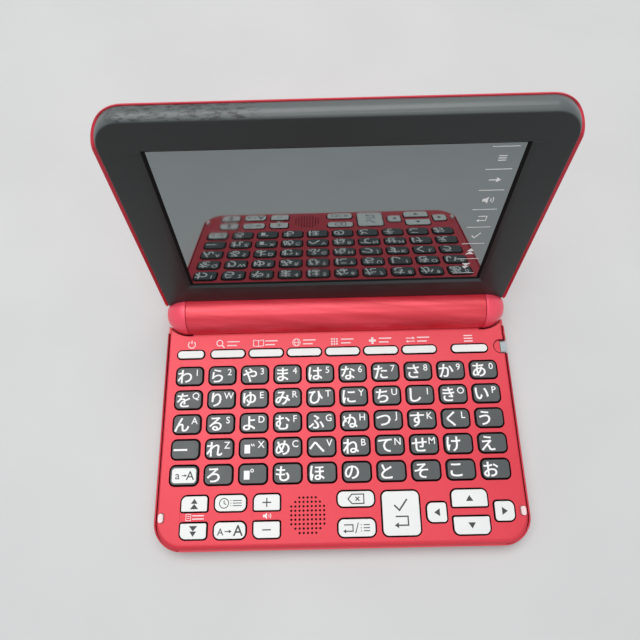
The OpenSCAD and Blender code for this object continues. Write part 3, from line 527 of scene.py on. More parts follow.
def treePiece(name, tree, values):  # runs a tree on an empty mesh and keeps the plain result
    piece = newPiece(name, bpy.data.meshes.new(name))
    modifier = piece.modifiers.new("build", "NODES")
    modifier.node_group = tree
    for item in tree.interface.items_tree:
        if item.in_out == "INPUT" and item.name in values:
            modifier[item.identifier] = values[item.name]
    bake(piece)
    outward(piece.data)
    return piece


def roundedBarTree():  # rounded rectangle with a height, standing on z = 0
    tree, given, result = newTree("roundedBar", [
        ("Width", "Float", 0.011), ("Depth", "Float", 0.007), ("Corner", "Float", 0.002),
        ("Height", "Float", 0.002), ("Material", "Material", None)])
    out = given.outputs
    line = step(tree, "GeometryNodeCurvePrimitiveQuadrilateral", Width=out["Width"], Height=out["Depth"])
    arc = step(tree, "GeometryNodeFilletCurve", {"mode": "POLY"}, Curve=line.outputs[0], Count=7,
               Radius=out["Corner"])
    sheet = step(tree, "GeometryNodeFillCurve", {"mode": "NGONS"}, Curve=arc.outputs[0])
    up = step(tree, "ShaderNodeCombineXYZ", Z=out["Height"]).outputs[0]
    body = step(tree, "GeometryNodeExtrudeMesh", Mesh=sheet.outputs[0], Offset=up, Offset_Scale=1.0)
    foot = step(tree, "GeometryNodeFlipFaces", Mesh=sheet.outputs[0])
    both = step(tree, "GeometryNodeJoinGeometry")
    tree.links.new(body.outputs["Mesh"], both.inputs[0])
    tree.links.new(foot.outputs[0], both.inputs[0])
    closed = step(tree, "GeometryNodeMergeByDistance", Geometry=both.outputs[0], Distance=0.000001)
    coat = step(tree, "GeometryNodeSetMaterial", Geometry=closed.outputs[0], Material=out["Material"])
    tree.links.new(coat.outputs[0], result.inputs[0])
    return tree


roundedBar = roundedBarTree()


def keyColumnTree():  # a column of keys, each a cap over a wider flange with its own material; on the keys that material is a painted gap shade
    tree, given, result = newTree("keyColumn", [
        ("Width", "Float", 0.0111), ("Depth", "Float", 0.00715), ("Corner", "Float", 0.0019),
        ("Height", "Float", 0.0027), ("Flange", "Float", 0.00065), ("Flange Height", "Float", 0.0005),
        ("Rows", "Int", 5), ("Pitch", "Float", 0.01), ("Start", "Vector", None),
        ("Cap Material", "Material", None), ("Flange Material", "Material", None)])
    out = given.outputs
    cap = step(tree, "GeometryNodeGroup", {"node_tree": roundedBar}, Width=out["Width"], Depth=out["Depth"],
               Corner=out["Corner"], Height=out["Height"], Material=out["Cap Material"])
    twice = sums(tree, "MULTIPLY", out["Flange"], 2.0)
    wider = [sums(tree, "ADD", out[side], twice) for side in ("Width", "Depth")]
    rounder = sums(tree, "ADD", out["Corner"], out["Flange"])
    flange = step(tree, "GeometryNodeGroup", {"node_tree": roundedBar}, Width=wider[0], Depth=wider[1],
                  Corner=rounder, Height=out["Flange Height"], Material=out["Flange Material"])
    both = step(tree, "GeometryNodeJoinGeometry")
    tree.links.new(flange.outputs[0], both.inputs[0])
    tree.links.new(cap.outputs[0], both.inputs[0])
    toFront = step(tree, "ShaderNodeCombineXYZ", Y=sums(tree, "MULTIPLY", out["Pitch"], -1.0)).outputs[0]
    row = step(tree, "GeometryNodeMeshLine", Count=out["Rows"], Start_Location=out["Start"], Offset=toFront)
    copies = step(tree, "GeometryNodeInstanceOnPoints", Points=row.outputs[0], Instance=both.outputs[0])
    real = step(tree, "GeometryNodeRealizeInstances", Geometry=copies.outputs[0])
    tree.links.new(real.outputs[0], result.inputs[0])
    return tree


def grilleTree():  # round holes on a square grid with its corners left out
    tree, given, result = newTree("grille", [
        ("Pitch", "Float", 0.0016), ("Side", "Int", 9), ("Reach", "Float", 6.5), ("Hole", "Float", 0.0004),
        ("Depth", "Float", 0.004), ("Centre", "Vector", None), ("Material", "Material", None)])
    out = given.outputs
    span = sums(tree, "MULTIPLY", out["Pitch"], sums(tree, "SUBTRACT", out["Side"], 1.0))
    grid = step(tree, "GeometryNodeMeshGrid", Size_X=span, Size_Y=span, Vertices_X=out["Side"],
                Vertices_Y=out["Side"])
    spot = step(tree, "ShaderNodeSeparateXYZ", i0=step(tree, "GeometryNodeInputPosition").outputs[0])
    across = [sums(tree, "ABSOLUTE", spot.outputs[axis]) for axis in (0, 1)]
    steps = sums(tree, "DIVIDE", sums(tree, "ADD", *across), out["Pitch"])
    inside = step(tree, "FunctionNodeCompare", {"operation": "LESS_THAN"}, A=steps, B=out["Reach"]).outputs[0]
    drill = step(tree, "GeometryNodeMeshCylinder", Vertices=16, Radius=out["Hole"], Depth=out["Depth"])
    holes = step(tree, "GeometryNodeInstanceOnPoints", Points=grid.outputs[0], Selection=inside,
                 Instance=drill.outputs[0])
    real = step(tree, "GeometryNodeRealizeInstances", Geometry=holes.outputs[0])
    placed = step(tree, "GeometryNodeTransform", Geometry=real.outputs[0], Translation=out["Centre"])
    coat = step(tree, "GeometryNodeSetMaterial", Geometry=placed.outputs[0], Material=out["Material"])
    tree.links.new(coat.outputs[0], result.inputs[0])
    return tree


def ribTree():  # bars side by side round the barrel, for a thumb to push
    tree, given, result = newTree("gripRibs", [
        ("Count", "Int", 7), ("Turn", "Float", 0.1), ("First", "Float", 0.0), ("Radius", "Float", 0.009),
        ("Length", "Float", 0.02), ("Breadth", "Float", 0.0006), ("Height", "Float", 0.0003),
        ("Centre", "Vector", None), ("Material", "Material", None)])
    out = given.outputs
    half = sums(tree, "MULTIPLY", out["Breadth"], 0.48)   # ends nearly half round
    bar = step(tree, "GeometryNodeGroup", {"node_tree": roundedBar}, Width=out["Length"],
               Depth=out["Breadth"], Corner=half, Height=out["Height"], Material=out["Material"])
    upward = step(tree, "ShaderNodeCombineXYZ", Z=out["Radius"]).outputs[0]
    lifted = step(tree, "GeometryNodeTransform", Geometry=bar.outputs[0], Translation=upward)
    spots = step(tree, "GeometryNodePoints", Count=out["Count"])
    number = step(tree, "GeometryNodeInputIndex").outputs[0]
    turn = sums(tree, "MULTIPLY_ADD", number, out["Turn"], out["First"])
    about = step(tree, "ShaderNodeCombineXYZ", X=turn)
    bars = step(tree, "GeometryNodeInstanceOnPoints", Points=spots.outputs[0], Instance=lifted.outputs[0],
                Rotation=about.outputs[0])
    real = step(tree, "GeometryNodeRealizeInstances", Geometry=bars.outputs[0])
    placed = step(tree, "GeometryNodeTransform", Geometry=real.outputs[0], Translation=out["Centre"])
    tree.links.new(placed.outputs[0], result.inputs[0])
    return tree


keyColumn = keyColumnTree()
grille = grilleTree()
gripRibs = ribTree()
print("trees built")


def domeRadius(x, gap):  # rounded end of the hinge, x from where it starts
    square = (hinge["domeArc"] + gap) ** 2 - max(x, 0) ** 2
    return hinge["radius"] - hinge["domeArc"] + math.sqrt(max(square, hinge["domeTip"] ** 2))


def hingeSpace(name, barrelGap, domeGap, early, length, steps=24):  # room that the barrel and its ends take
    start = hinge["capStart"]
    places = [early + (length - early) * i / steps for i in range(steps + 1)]
    dome = [(start + x, domeRadius(x, domeGap)) for x in places]
    right = [(start + early, hinge["radius"] + barrelGap)] + dome
    return lathe(name, [(-x, r) for x, r in reversed(right)] + right)


def makeCaps():
    look = {"edge": 0.16, "steps": 28, "short": 0.8}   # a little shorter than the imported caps
    length = hinge["capEnd"] - hinge["capStart"]
    for side, node, name in ((1, "hinge_cap_right", "capRight"), (-1, "hinge_cap_left", "capLeft")):
        profile = []
        for i in range(look["steps"] + 1):
            x = hinge["capStart"] + (length - look["short"]) * i / look["steps"]
            profile.append((side * x, domeRadius(length * i / look["steps"], 0)))
        cap = soften(lathe(name, profile), look["edge"])
        finishPiece(cap, "lid", "lid_red", capRed, replaces=(node,))


def makeRibs():  # grip ribs at both ends of the battery cover
    look = {"count": 9, "turn": 6.5, "middle": -150, "length": 16, "breadth": 0.55, "height": 0.22,
            "offset": 30, "sink": 0.1}
    first = look["middle"] - look["turn"] * (look["count"] - 1) / 2
    for side, name in ((-1, "coverRibsLeft"), (1, "coverRibsRight")):
        rib = treePiece(name, gripRibs, {
            "Count": look["count"], "Turn": math.radians(look["turn"]), "First": math.radians(first),
            "Radius": (hinge["radius"] - look["sink"]) * mm, "Length": look["length"] * mm,
            "Breadth": look["breadth"] * mm, "Height": look["height"] * mm,
            "Centre": (side * look["offset"] * mm, hinge["y"] * mm, hinge["z"] * mm), "Material": barrelRed})
        finishPiece(rib, "battery_cover", "case_red")


softCopy("hinge_barrel", "barrel", 0.12, "base", "case_red", barrelRed)
softCopy("battery_cover", "batteryCover", 0.12, "battery_cover", "case_red", barrelRed)
makeCaps()
makeRibs()
print("hinge dressed")


keys = {
    "rows": 5, "rowPitch": 10.11, "charCorner": 1.9, "darkEdge": 0.36, "gap": 0.6,
    "round": 1.1, "bigRound": 2.1, "square": 0.5, "pillLess": 0.05, "paleEdge": 0.28, "paleGap": 0.64,
    "paintedShadeStem": 0.2,                # painted shade on a white key's side, up to this height above the deck
    "flange": 0.65, "flangeHeight": 0.5, "apron": 0.9, "lap": 0.05,
    "deck": 1.6, "play": 0.1,       # thickness of the deck, room between deck and flange
    "innerFlange": -0.5, "innerHeight": 0.2,   # a flange lost inside the tools that cut the holes
}
small, big, crisp = keys["round"], keys["bigRound"], keys["square"]
softKeys = {
    "key_power": None, "key_menu": None,
    "key_page_up": (small, big, crisp, crisp), "key_page_down": (crisp, crisp, big, small),
    "key_history": (big,) * 4, "key_text_size": (big,) * 4,
    "key_volume_up": (small, big, crisp, crisp), "key_volume_down": (crisp, crisp, big, small),
    "key_delete": (big,) * 4, "key_back": (big,) * 4, "key_enter": (big,) * 4,
    "key_left": (small, big, big, small), "key_right": (big, small, small, big),
    "key_up": (big, big, crisp, crisp), "key_down": (crisp, crisp, big, big),
}
softKeys.update({f"key_jump_{i}": None for i in range(1, 7)})  # None is a pill


def keyFace(node, rows=1):  # centre of the first key, its size and its heights
    low, high = measure(node)
    width = high.x - low.x - 2 * keys["flange"]
    depth = high.y - low.y - 2 * keys["flange"] - (rows - 1) * keys["rowPitch"]
    x, y = (low.x + high.x) / 2, high.y - keys["flange"] - depth / 2
    return {"x": x, "y": y, "width": width, "depth": depth, "top": high.z}


def keyRadii(node, depth):
    return softKeys[node] or (depth / 2 - keys["pillLess"],) * 4


flangeLow = shell["top"] - keys["deck"] - keys["play"] - keys["flangeHeight"]   # under the deck
faces = {}


def makeColumns():
    for i in range(1, 11):
        node = f"keys_col_{i}"
        face = faces[node] = keyFace(node, keys["rows"])
        # painted shade: the flanges below the caps take the dark gap colour
        column = treePiece(f"keyColumn{i}", keyColumn, {
            "Width": face["width"] * mm, "Depth": face["depth"] * mm, "Corner": keys["charCorner"] * mm,
            "Height": (face["top"] - flangeLow) * mm, "Flange": keys["flange"] * mm,
            "Flange Height": keys["flangeHeight"] * mm, "Rows": keys["rows"], "Pitch": keys["rowPitch"] * mm,
            "Start": (face["x"] * mm, face["y"] * mm, flangeLow * mm),
            "Cap Material": keyGrey, "Flange Material": paintedGapShade})
        # painted shade: the rounded cap edge takes the dark maroon, partly the keys' own dark rim, partly
        # shade from the gap
        column.data.materials.append(keyEdge)
        soften(column, keys["darkEdge"], 3, rim=len(column.data.materials) - 1)
        finishPiece(column, node, "key_grey", replaces=(node,))


def makeSoftKeys():
    for node in softKeys:
        face = faces[node] = keyFace(node)
        radii = keyRadii(node, face["depth"])
        line = [roundLine(face["width"], face["depth"], radii, grow) for grow in (0, keys["apron"])]
        shade = shell["top"] + keys["paintedShadeStem"]
        cap = prism("cap", line[0], shade, face["top"], face["x"], face["y"])
        stem = prism("stem", line[0], flangeLow + keys["lap"], shade, face["x"], face["y"])
        flange = prism("flange", line[1], flangeLow, flangeLow + keys["flangeHeight"], face["x"], face["y"])
        # painted shade: the stem and flange of a white key take the dark gap colour, though the key is white
        for dark in (stem, flange):
            lined(dark, keyWhite, paintedGapShade)
        name = "soft" + "".join(word.title() for word in node.split("_"))
        key = join(name, [cap, stem, flange])
        for material in (keyWhite, paintedGapShade):
            key.data.materials.append(material)
        finishPiece(soften(key, keys["paleEdge"], 3), node, "key_white", replaces=(node,))


makeColumns()
makeSoftKeys()
print("keys made")


cornerSteps = 16


def baseLine(side, front, rear=0.0):
    x, y, r = shell["halfWidth"] - side, shell["reach"] - front, shell["corner"] - side
    line = [(x, -rear), (-x, -rear)]
    line += quarter(-x + r, -y + r, r, 180, cornerSteps) + quarter(x - r, -y + r, r, 270, cornerSteps)
    return [(px, py + hinge["y"]) for px, py in line]


def keyHoles(low, high):
    tools = []
    for node, face in faces.items():
        if node.startswith("keys_col"):
            column = treePiece("hole", keyColumn, {
                "Width": (face["width"] + 2 * keys["gap"]) * mm,
                "Depth": (face["depth"] + 2 * keys["gap"]) * mm,
                "Corner": (keys["charCorner"] + keys["gap"]) * mm, "Height": (high - low) * mm,
                "Flange": keys["innerFlange"] * mm, "Flange Height": keys["innerHeight"] * mm,
                "Rows": keys["rows"], "Pitch": keys["rowPitch"] * mm,
                "Start": (face["x"] * mm, face["y"] * mm, low * mm),
                "Cap Material": caseRed, "Flange Material": caseRed})
            tools.append(column)
        else:
            line = roundLine(face["width"], face["depth"], keyRadii(node, face["depth"]), keys["paleGap"])
            tools.append(prism("hole", line, low, high, face["x"], face["y"]))
    return join("keyHoles", tools)


def speakerHoles(look, y, top):
    return treePiece("grilleHoles", grille, {
        "Pitch": look["pitch"] * mm, "Side": look["holes"], "Reach": look["reach"],
        "Hole": look["hole"] * mm, "Depth": look["drill"] * mm,
        "Centre": (look["speakerX"] * mm, y * mm, top * mm), "Material": caseRed})


def keyWells(look, top):  # shallow beds that hold a pair of keys and their print
    wells = []
    for up, down in (("key_page_up", "key_page_down"), ("key_volume_up", "key_volume_down")):
        middle = (faces[up]["y"] + faces[down]["y"]) / 2
        width = faces[up]["width"] + 2 * keys["paleGap"]
        line = roundLine(width, faces[up]["y"] - faces[down]["y"], (look["wellCorner"],) * 4, 0, 2)
        wells.append(prism("well", line, top - look["well"], top + look["wellAbove"], faces[up]["x"], middle))
    return join("wells", wells)


def makeDeck():
    look = {"rollSide": 0.9, "rollFront": 3.2, "rollDrop": 1.2, "steps": 10, "edge": 0.14, "hollowRear": 11,
            "frontLess": 0.2, "well": 0.15, "wellCorner": 0.1, "wellAbove": 1, "above": 2, "below": 1,
            "speakerX": -13.3, "row": 83.8, "pitch": 1.62, "hole": 0.44, "holes": 9, "reach": 6.5, "drill": 5,
            "bumperX": 71.0, "bumper": (2.0, 3.5), "bumperCorner": 0.95, "bumperPlay": 0.15, "pocket": 0.8,
            "notch": 2.9, "notchLength": 8, "notchCorner": 0.2, "scoop": 2.9, "scoopDepth": 0.9,
            "hingeRoom": {"barrelGap": 0.06, "domeGap": 0.8, "early": -1.5, "length": 14}}
    top, ceiling, inset = shell["top"], shell["top"] - keys["deck"], shell["step"]
    inner, high, front = inset + shell["wall"], top + look["above"], inset - look["frontLess"]
    rings = [lift(baseLine(inner, inner, look["hollowRear"]), ceiling),
             lift(baseLine(inner, inner, look["hollowRear"]), shell["seam"]),
             lift(baseLine(inset, front), shell["seam"])]
    for i in range(look["steps"] + 1):
        a = math.pi / 2 * i / look["steps"]
        side = inset + look["rollSide"] * (1 - math.cos(a))
        ahead = look["rollFront"] * (1 - math.cos(a)) + front * math.cos(a)
        rings.append(lift(baseLine(side, ahead), top - look["rollDrop"] * (1 - math.sin(a))))
    deck = loft("deck", rings)
    for material in (caseRed, wellShade):
        deck.data.materials.append(material)
    y = hinge["y"] - look["row"]
    holes = speakerHoles(look, y, top)
    pockets = []
    for side in (-1, 1):
        line = roundLine(*look["bumper"], (look["bumperCorner"],) * 4, look["bumperPlay"])
        pockets.append(prism("pocket", line, top - look["pocket"], high, side * look["bumperX"], y))
    wells = keyWells(look, top)
    edge, row = shell["halfWidth"] - look["notch"], hinge["y"] - stylusSlot["row"]
    line = roundLine(look["notchLength"], stylusSlot["width"], (look["notchCorner"],) * 4, 0, 2)
    notch = prism("notch", line, 0, high, edge + look["notchLength"] / 2, row)
    circle = roundLine(2 * look["scoop"], 2 * look["scoop"], (look["scoop"],) * 4, 0, 12)
    scoop = prism("scoop", circle, top - look["scoopDepth"], high, edge, row)
    space = hingeSpace("hingeSpace", **look["hingeRoom"])
    # painted shade: these cutters leave the dark wellShade on the walls that they cut
    dark = [lined(tool, caseRed, wellShade) for tool in
            (keyHoles(ceiling - look["below"], high), holes, join("pockets", pockets))]
    cut(deck, [wells, *dark, notch, scoop, space])
    soften(deck, look["edge"])
    return finishPiece(deck, "base", "case_red", replaces=("base_upper_case",))


def caseRims():  # the lower case stands up beside the deck and sinks away round the front corners, with a painted shadow strip in the groove beside it
    look = {"rear": 8.0, "below": 0.45, "gap": 0.32, "round": 0.4, "steps": 5, "base": 0.05, "sink": 0.02,
            "frontLess": 0.1, "fade": 0.75, "shadowIn": 0.3, "shadowOut": 0.05, "shadowRise": 0.75,
            "gate": 12, "gateCorner": 0.2, "gateLow": -2, "gateAbove": 2}
    full = shell["top"] - look["below"] - shell["seam"]
    inner = shell["step"] - look["gap"]
    profile = [(inner, 0), (inner, 1)]
    for i in range(look["steps"] + 1):
        a = math.pi / 2 * i / look["steps"]
        profile.append((look["round"] * (1 - math.sin(a)), 1 - look["round"] / full * (1 - math.cos(a))))
    profile.append((0, 0))
    # painted shadow: a dark strip laid low in the groove between the rim and the deck
    near, far = shell["step"] + look["shadowIn"], inner - look["shadowOut"]
    shadow = [(near, 0), (near, look["shadowRise"]), (far, look["shadowRise"]), (far, 0)]
    for label, outline, material, slot in (("caseRim", profile, undersideRed, "case_red"),
                                           ("seamShadowStrip", shadow, paintedGapShade, "black_plastic")):
        insets = [inset for inset, share in outline]
        less = look["frontLess"]
        lines = [baseLine(inset, inset - (less if inset > less else 0), look["rear"]) for inset in insets]
        for side, word in ((-1, "Left"), (1, "Right")):
            rings = []
            for k in range(1, cornerSteps + 2):   # from the rear along one side and round its front corner
                turn = max(k - 2, 0) / cornerSteps
                rise = 0.5 + 0.5 * math.cos(math.pi * min(turn / look["fade"], 1))
                height = look["base"] + (full - look["base"]) * rise
                index = k if side < 0 else (0 if k == 1 else len(lines[0]) + 1 - k)
                rings.append([(*line[index], shell["seam"] - look["sink"] + share * height)
                              for line, (inset, share) in zip(lines, outline)])
            strip = loft(label + word, rings)
            if side > 0:      # open where the stylus lies
                line = roundLine(look["gate"], stylusSlot["width"], (look["gateCorner"],) * 4, 0, 2)
                cut(strip, [prism("gate", line, look["gateLow"], shell["top"] + look["gateAbove"],
                                  shell["halfWidth"], hinge["y"] - stylusSlot["row"])])
            strip.data.shade_smooth()
            finishPiece(strip, "base", slot, material)


makeDeck()
caseRims()
softCopy("base_lower_case", "lowerCase", 0.1, "base", "case_red", undersideRed)
softCopy("card_slot_cover", "cardCover", 0.12, "card_slot_cover", "case_red", undersideRed)
softCopy("lid_bumpers", "bumpers", 0.25, "base", "bumper_white", bumperWhite, 3)
softCopy("stylus", "stylusPen", 0.25, "stylus", "stylus_grey", stylusGrey, 3)
softCopy("rubber_feet", "feet", 0.2, "base", "foot_rubber", footRubber, 3)
print("base dressed")


lidPlace = Matrix.Translation((0, hinge["y"], hinge["z"]))
lidPlace @= Matrix.Rotation(-math.radians(hinge["open"]), 4, "X")
lid = {   # sizes in the closed lid's own frame, z upward from the hinge axis
    "inner": 0.4, "thick": 6.4, "cover": 1.5, "bezel": 1.2, "wall": 1.9, "inset": 0.35, "lap": 0.02,
    "corner": 12, "cornerLess": 1.2, "rearCorner": 1.5, "rearPlay": 0.1,
    "slope": 2.9, "slopeEdge": 1.4, "lip": 1.25, "lipFront": 0.8,
    "glassWidth": 116.6, "glassLow": 19.6, "glassTop": 83.4, "shift": -0.3,
    "slopeSide": 2.9, "slopeLow": 1.6, "slopeTop": 1.0,
    "hingeRoom": {"barrelGap": 0.35, "domeGap": 0.08, "early": -0.2, "length": 9.73},
}
lid["coverZ"] = lid["inner"] + lid["thick"] - lid["cover"]
lid["glassZ"] = lid["inner"] + lid["bezel"]
lid["glassBed"] = lid["glassZ"] - lid["lap"]


def lidLine(side, front, corner, steps=14):
    x, y, r, q = shell["halfWidth"] - side, shell["reach"] - front, corner, lid["rearCorner"]
    rear = -shell["rear"] + lid["rearPlay"]
    return (quarter(x - q, rear - q, q, 0, steps) + quarter(-x + q, rear - q, q, 90, steps)
            + quarter(-x + r, -y + r, r, 180, steps) + quarter(x - r, -y + r, r, 270, steps))


def windowLine(side, low, top, corner, steps=14):
    half = lid["glassWidth"] / 2 + side
    rear, front = -(lid["glassLow"] - low), -(lid["glassTop"] + top)
    line = roundLine(2 * half, rear - front, (corner,) * 4, 0, steps)
    return [(px + lid["shift"], py + (rear + front) / 2) for px, py in line]


def lidSpace():  # room for the barrel and the end caps, in the open pose
    return hingeSpace("space", **lid["hingeRoom"])


def makeBezel():
    look = {"edge": 0.12, "steps": 10, "frameCorner": 0.5, "glassCorner": 0.3,
            "bulge": 1.15, "cornerCurl": 2.0, "sideIn": 0.03, "sideMore": 0.5,
            "hollowRear": 12.5, "hollowFront": 3.4, "hollowCorner": 8.5}
    depth = lid["coverZ"] - lid["inner"]
    rings = []
    for i in range(look["steps"] + 1):    # rolled side, from the back cover to the face
        a = math.pi / 2 * i / look["steps"]
        curl = 1 - math.cos(a)
        front = lid["inset"] + lid["slope"] * curl ** look["bulge"]
        corner = lid["corner"] - lid["cornerLess"] - look["cornerCurl"] * curl
        roll = lid["inset"] + lid["slopeEdge"] - lid["lip"] + look["sideMore"]
        side = lid["lip"] + look["sideIn"] + roll * curl ** look["bulge"]
        rings.append(lift(lidLine(side, front, corner), lid["coverZ"] - depth * math.sin(a)))
    frame = windowLine(lid["slopeSide"], lid["slopeLow"], lid["slopeTop"], look["frameCorner"])
    rings.append(lift(frame, lid["inner"]))
    rings.append(lift(windowLine(0, 0, 0, look["glassCorner"]), lid["glassBed"]))
    inside, reach = shell["halfWidth"] - lid["wall"] - lid["inset"], shell["reach"]
    rear, front = look["hollowRear"], look["hollowFront"]
    hollow = roundLine(2 * inside, reach - (rear + front), (look["hollowCorner"],) * 4, 0, 14)
    for z in (lid["glassBed"], lid["coverZ"]):
        rings.append(lift(hollow, z, 0, -(rear + reach - front) / 2))
    bezel = loft("bezel", rings, lidPlace, ring=True)
    cut(bezel, [lidSpace()])
    soften(bezel, look["edge"])
    return finishPiece(bezel, "lid", "bezel_charcoal", bezelCharcoal, replaces=("lid_bezel",))


def makeBackCover():
    look = {"edge": 0.1, "steps": 10, "roll": 1.3, "straight": 0.3, "soft": 0.3, "softFront": 0.3,
            "lipBack": 0.35, "fadeFrom": 2.5, "fadeOver": 11}
    outer, inner = lid["corner"], lid["corner"] - lid["cornerLess"]
    foot = (lid["lip"], lid["inset"] - lid["lap"], inner)
    edge = (look["soft"], look["soft"] * look["softFront"], outer)
    rings = [lift(lidLine(*foot), lid["coverZ"])]
    for outline, back in ((foot, look["lipBack"]), (edge, 0), ((0, 0, outer), look["soft"])):
        ring = []   # the lip reaches forward along both sides and ends round the far corners
        for px, py in lidLine(*outline):
            along = min(max((py + shell["reach"] - look["fadeFrom"]) / look["fadeOver"], 0), 1)
            share = along * along * (3 - 2 * along)
            reach = lid["coverZ"] - lid["inner"] - lid["lipFront"] - back
            ring.append((px, py, lid["coverZ"] - share * reach))
        rings.append(ring)
    for i in range(look["steps"] + 1):
        a = math.pi / 2 * i / look["steps"]
        rise = lid["cover"] * (look["straight"] + (1 - look["straight"]) * math.sin(a))
        inset = look["roll"] * (1 - math.cos(a))
        rings.append(lift(lidLine(inset, inset, outer), lid["coverZ"] + rise))
    cover = loft("backCover", rings, lidPlace)
    cut(cover, [lidSpace()])
    soften(cover, look["edge"])
    return finishPiece(cover, "lid", "lid_red", lidRed, replaces=("lid_back_cover",))


def frameShade():  # painted shadow: a dark band between the frame and the glass, up the foot of the slope
    look = {"share": 0.36, "over": 0.14, "thickness": 0.03, "corner": 0.35, "proud": 0.02}
    share = look["share"]
    low = windowLine(*(-look["over"],) * 3, look["corner"])
    slopes = [lid[slope] * share for slope in ("slopeSide", "slopeLow", "slopeTop")]
    high = windowLine(*slopes, look["corner"])
    foot = lid["glassBed"]
    head = foot - (foot - lid["inner"]) * share
    rings = [lift(low, foot + look["proud"]), lift(high, head + look["proud"]),
             lift(high, head - look["thickness"]), lift(low, foot - look["thickness"])]
    shadowBand = loft("frameShade", rings, lidPlace, ring=True)
    return finishPiece(shadowBand, "lid", "black_plastic", paintedFrameShadow)


def makeGlass():
    look = {"grow": 1.8, "thickness": 0.9, "edge": 0.05, "corner": 0.5}
    line = windowLine(look["grow"], look["grow"], look["grow"], look["corner"])
    layers = [lift(line, z) for z in (lid["glassZ"], lid["glassZ"] + look["thickness"])]
    glass = soften(loft("touchGlass", layers, lidPlace), look["edge"], 1)
    finishPiece(glass, "lid", "screen_glass", screenGlass, replaces=("display_glass",))


makeBezel()
makeBackCover()
makeGlass()
frameShade()
print("lid dressed")


def shape(*points):
    return list(points), [tuple(range(len(points)))]


def bar(x, y, w, h):
    return shape(*[(x + i * w / 2, y + j * h / 2) for i, j in ((-1, -1), (1, -1), (1, 1), (-1, 1))])


def spot(x, y, r, steps):
    turns = [2 * math.pi * i / steps for i in range(steps)]
    return shape(*[(x + r * math.cos(a), y + r * math.sin(a)) for a in turns])


def stroke(points, width, closed=False):  # a line with a width and mitred bends
    count = len(points)
    left, right = [], []
    for i, (x, y) in enumerate(points):
        before = points[i - 1] if closed or i > 0 else None
        after = points[(i + 1) % count] if closed or i < count - 1 else None
        ways = [Vector((x - before[0], y - before[1])).normalized()] if before else []
        ways += [Vector((after[0] - x, after[1] - y)).normalized()] if after else []
        way = sum(ways, Vector((0, 0))).normalized()
        side = Vector((-way.y, way.x)) * width / 2 / max(way.dot(ways[0]), 0.5)
        left.append((x + side.x, y + side.y))
        right.append((x - side.x, y - side.y))
    last = count if closed else count - 1
    quads = [(i, (i + 1) % count, count + (i + 1) % count, count + i) for i in range(last)]
    return left + right, quads


def ringMark(x, y, r, width, start=0, end=360, steps=24):
    closed = end - start == 360
    angles = [math.radians(start + (end - start) * i / steps) for i in range(steps if closed else steps + 1)]
    return stroke([(x + r * math.cos(a), y + r * math.sin(a)) for a in angles], width, closed)


def wedge(x, y, w, h, turn=0):  # a triangle that points up, turned by degrees
    c, s = math.cos(math.radians(turn)), math.sin(math.radians(turn))
    corners = [(-w / 2, -h / 2), (w / 2, -h / 2), (0, h / 2)]
    return shape(*[(x + px * c - py * s, y + px * s + py * c) for px, py in corners])


def moved(marks, x, y, scale=1.0):
    return [([(px * scale + x, py * scale + y) for px, py in points], quads) for points, quads in marks]


glyphs = {}
ink = {"height": 0.03, "sunk": 0.01, "layer": 0.0004, "layers": 5}   # marks that cross lie a hair apart


def letters(text, size, x, y, bold=0.0):  # type, centred at a place
    key = (text, size, bold)
    if key not in glyphs:
        curve = bpy.data.curves.new("type", "FONT")
        curve.body = text
        curve.size = size
        curve.offset = bold
        curve.resolution_u = 3
        carrier = newPiece("type", curve)
        bpy.context.view_layer.update()
        mesh = bpy.data.meshes.new_from_object(carrier.evaluated_get(bpy.context.evaluated_depsgraph_get()))
        points = [(v.co.x, v.co.y) for v in mesh.vertices]
        quads = [tuple(p.vertices) for p in mesh.polygons]
        xs, ys = [p[0] for p in points], [p[1] for p in points]
        cx, cy = (min(xs) + max(xs)) / 2, (min(ys) + max(ys)) / 2
        glyphs[key] = ([(px - cx, py - cy) for px, py in points], quads)
        bpy.data.objects.remove(carrier)
    return moved([glyphs[key]], x, y)[0]


def printOn(name, marks, place, body, slot, material):  # closed layers of ink
    bm = bmesh.new()
    for order, (points, quads) in enumerate(marks):
        low = -ink["sunk"] + ink["layer"] * (order % ink["layers"])
        verts = [bm.verts.new((px, py, low)) for px, py in points]
        for quad in quads:
            bm.faces.new([verts[i] for i in quad])
    top = bmesh.ops.extrude_face_region(bm, geom=bm.faces[:])["geom"]
    raised = [part for part in top if isinstance(part, bmesh.types.BMVert)]
    bmesh.ops.translate(bm, vec=(0, 0, ink["height"]), verts=raised)
    bmesh.ops.recalc_face_normals(bm, faces=bm.faces)
    bm.transform(place)
    bm.transform(Matrix.Scale(mm, 4))
    mesh = bpy.data.meshes.new(name)
    bm.to_mesh(mesh)
    bm.free()
    return finishPiece(newPiece(name, mesh), body, slot, material)


legend = {
    "kana": 6.7, "kanaX": -2.0, "kanaY": -0.1, "kanaBold": 0.07, "double": 0.06,
    "latin": 3.9, "latinX": 3.15, "latinY": 1.4, "latinBold": 0.03,
    "block": (-2.5, -0.35, 2.3, 3.4), "tick": ((-0.9, 1.7), (-0.45, 0.75)), "tickStep": 0.8, "tickLine": 0.38,
    "ring": (-0.35, 1.35, 0.55, 0.34), "voiced": 2, "ringRow": 4,
}
kanaRows = ["わらやまはなたさかあ", "をりゆみひにちしきい", "んるよむふぬつすくう", "ーれ めへねてせけえ", " ろ もほのとそこお"]
latinRows = ["1234567890", "QWERTYUIOP", "ASDFGHJKL ", " ZXCVBNM  ", " " * 10]


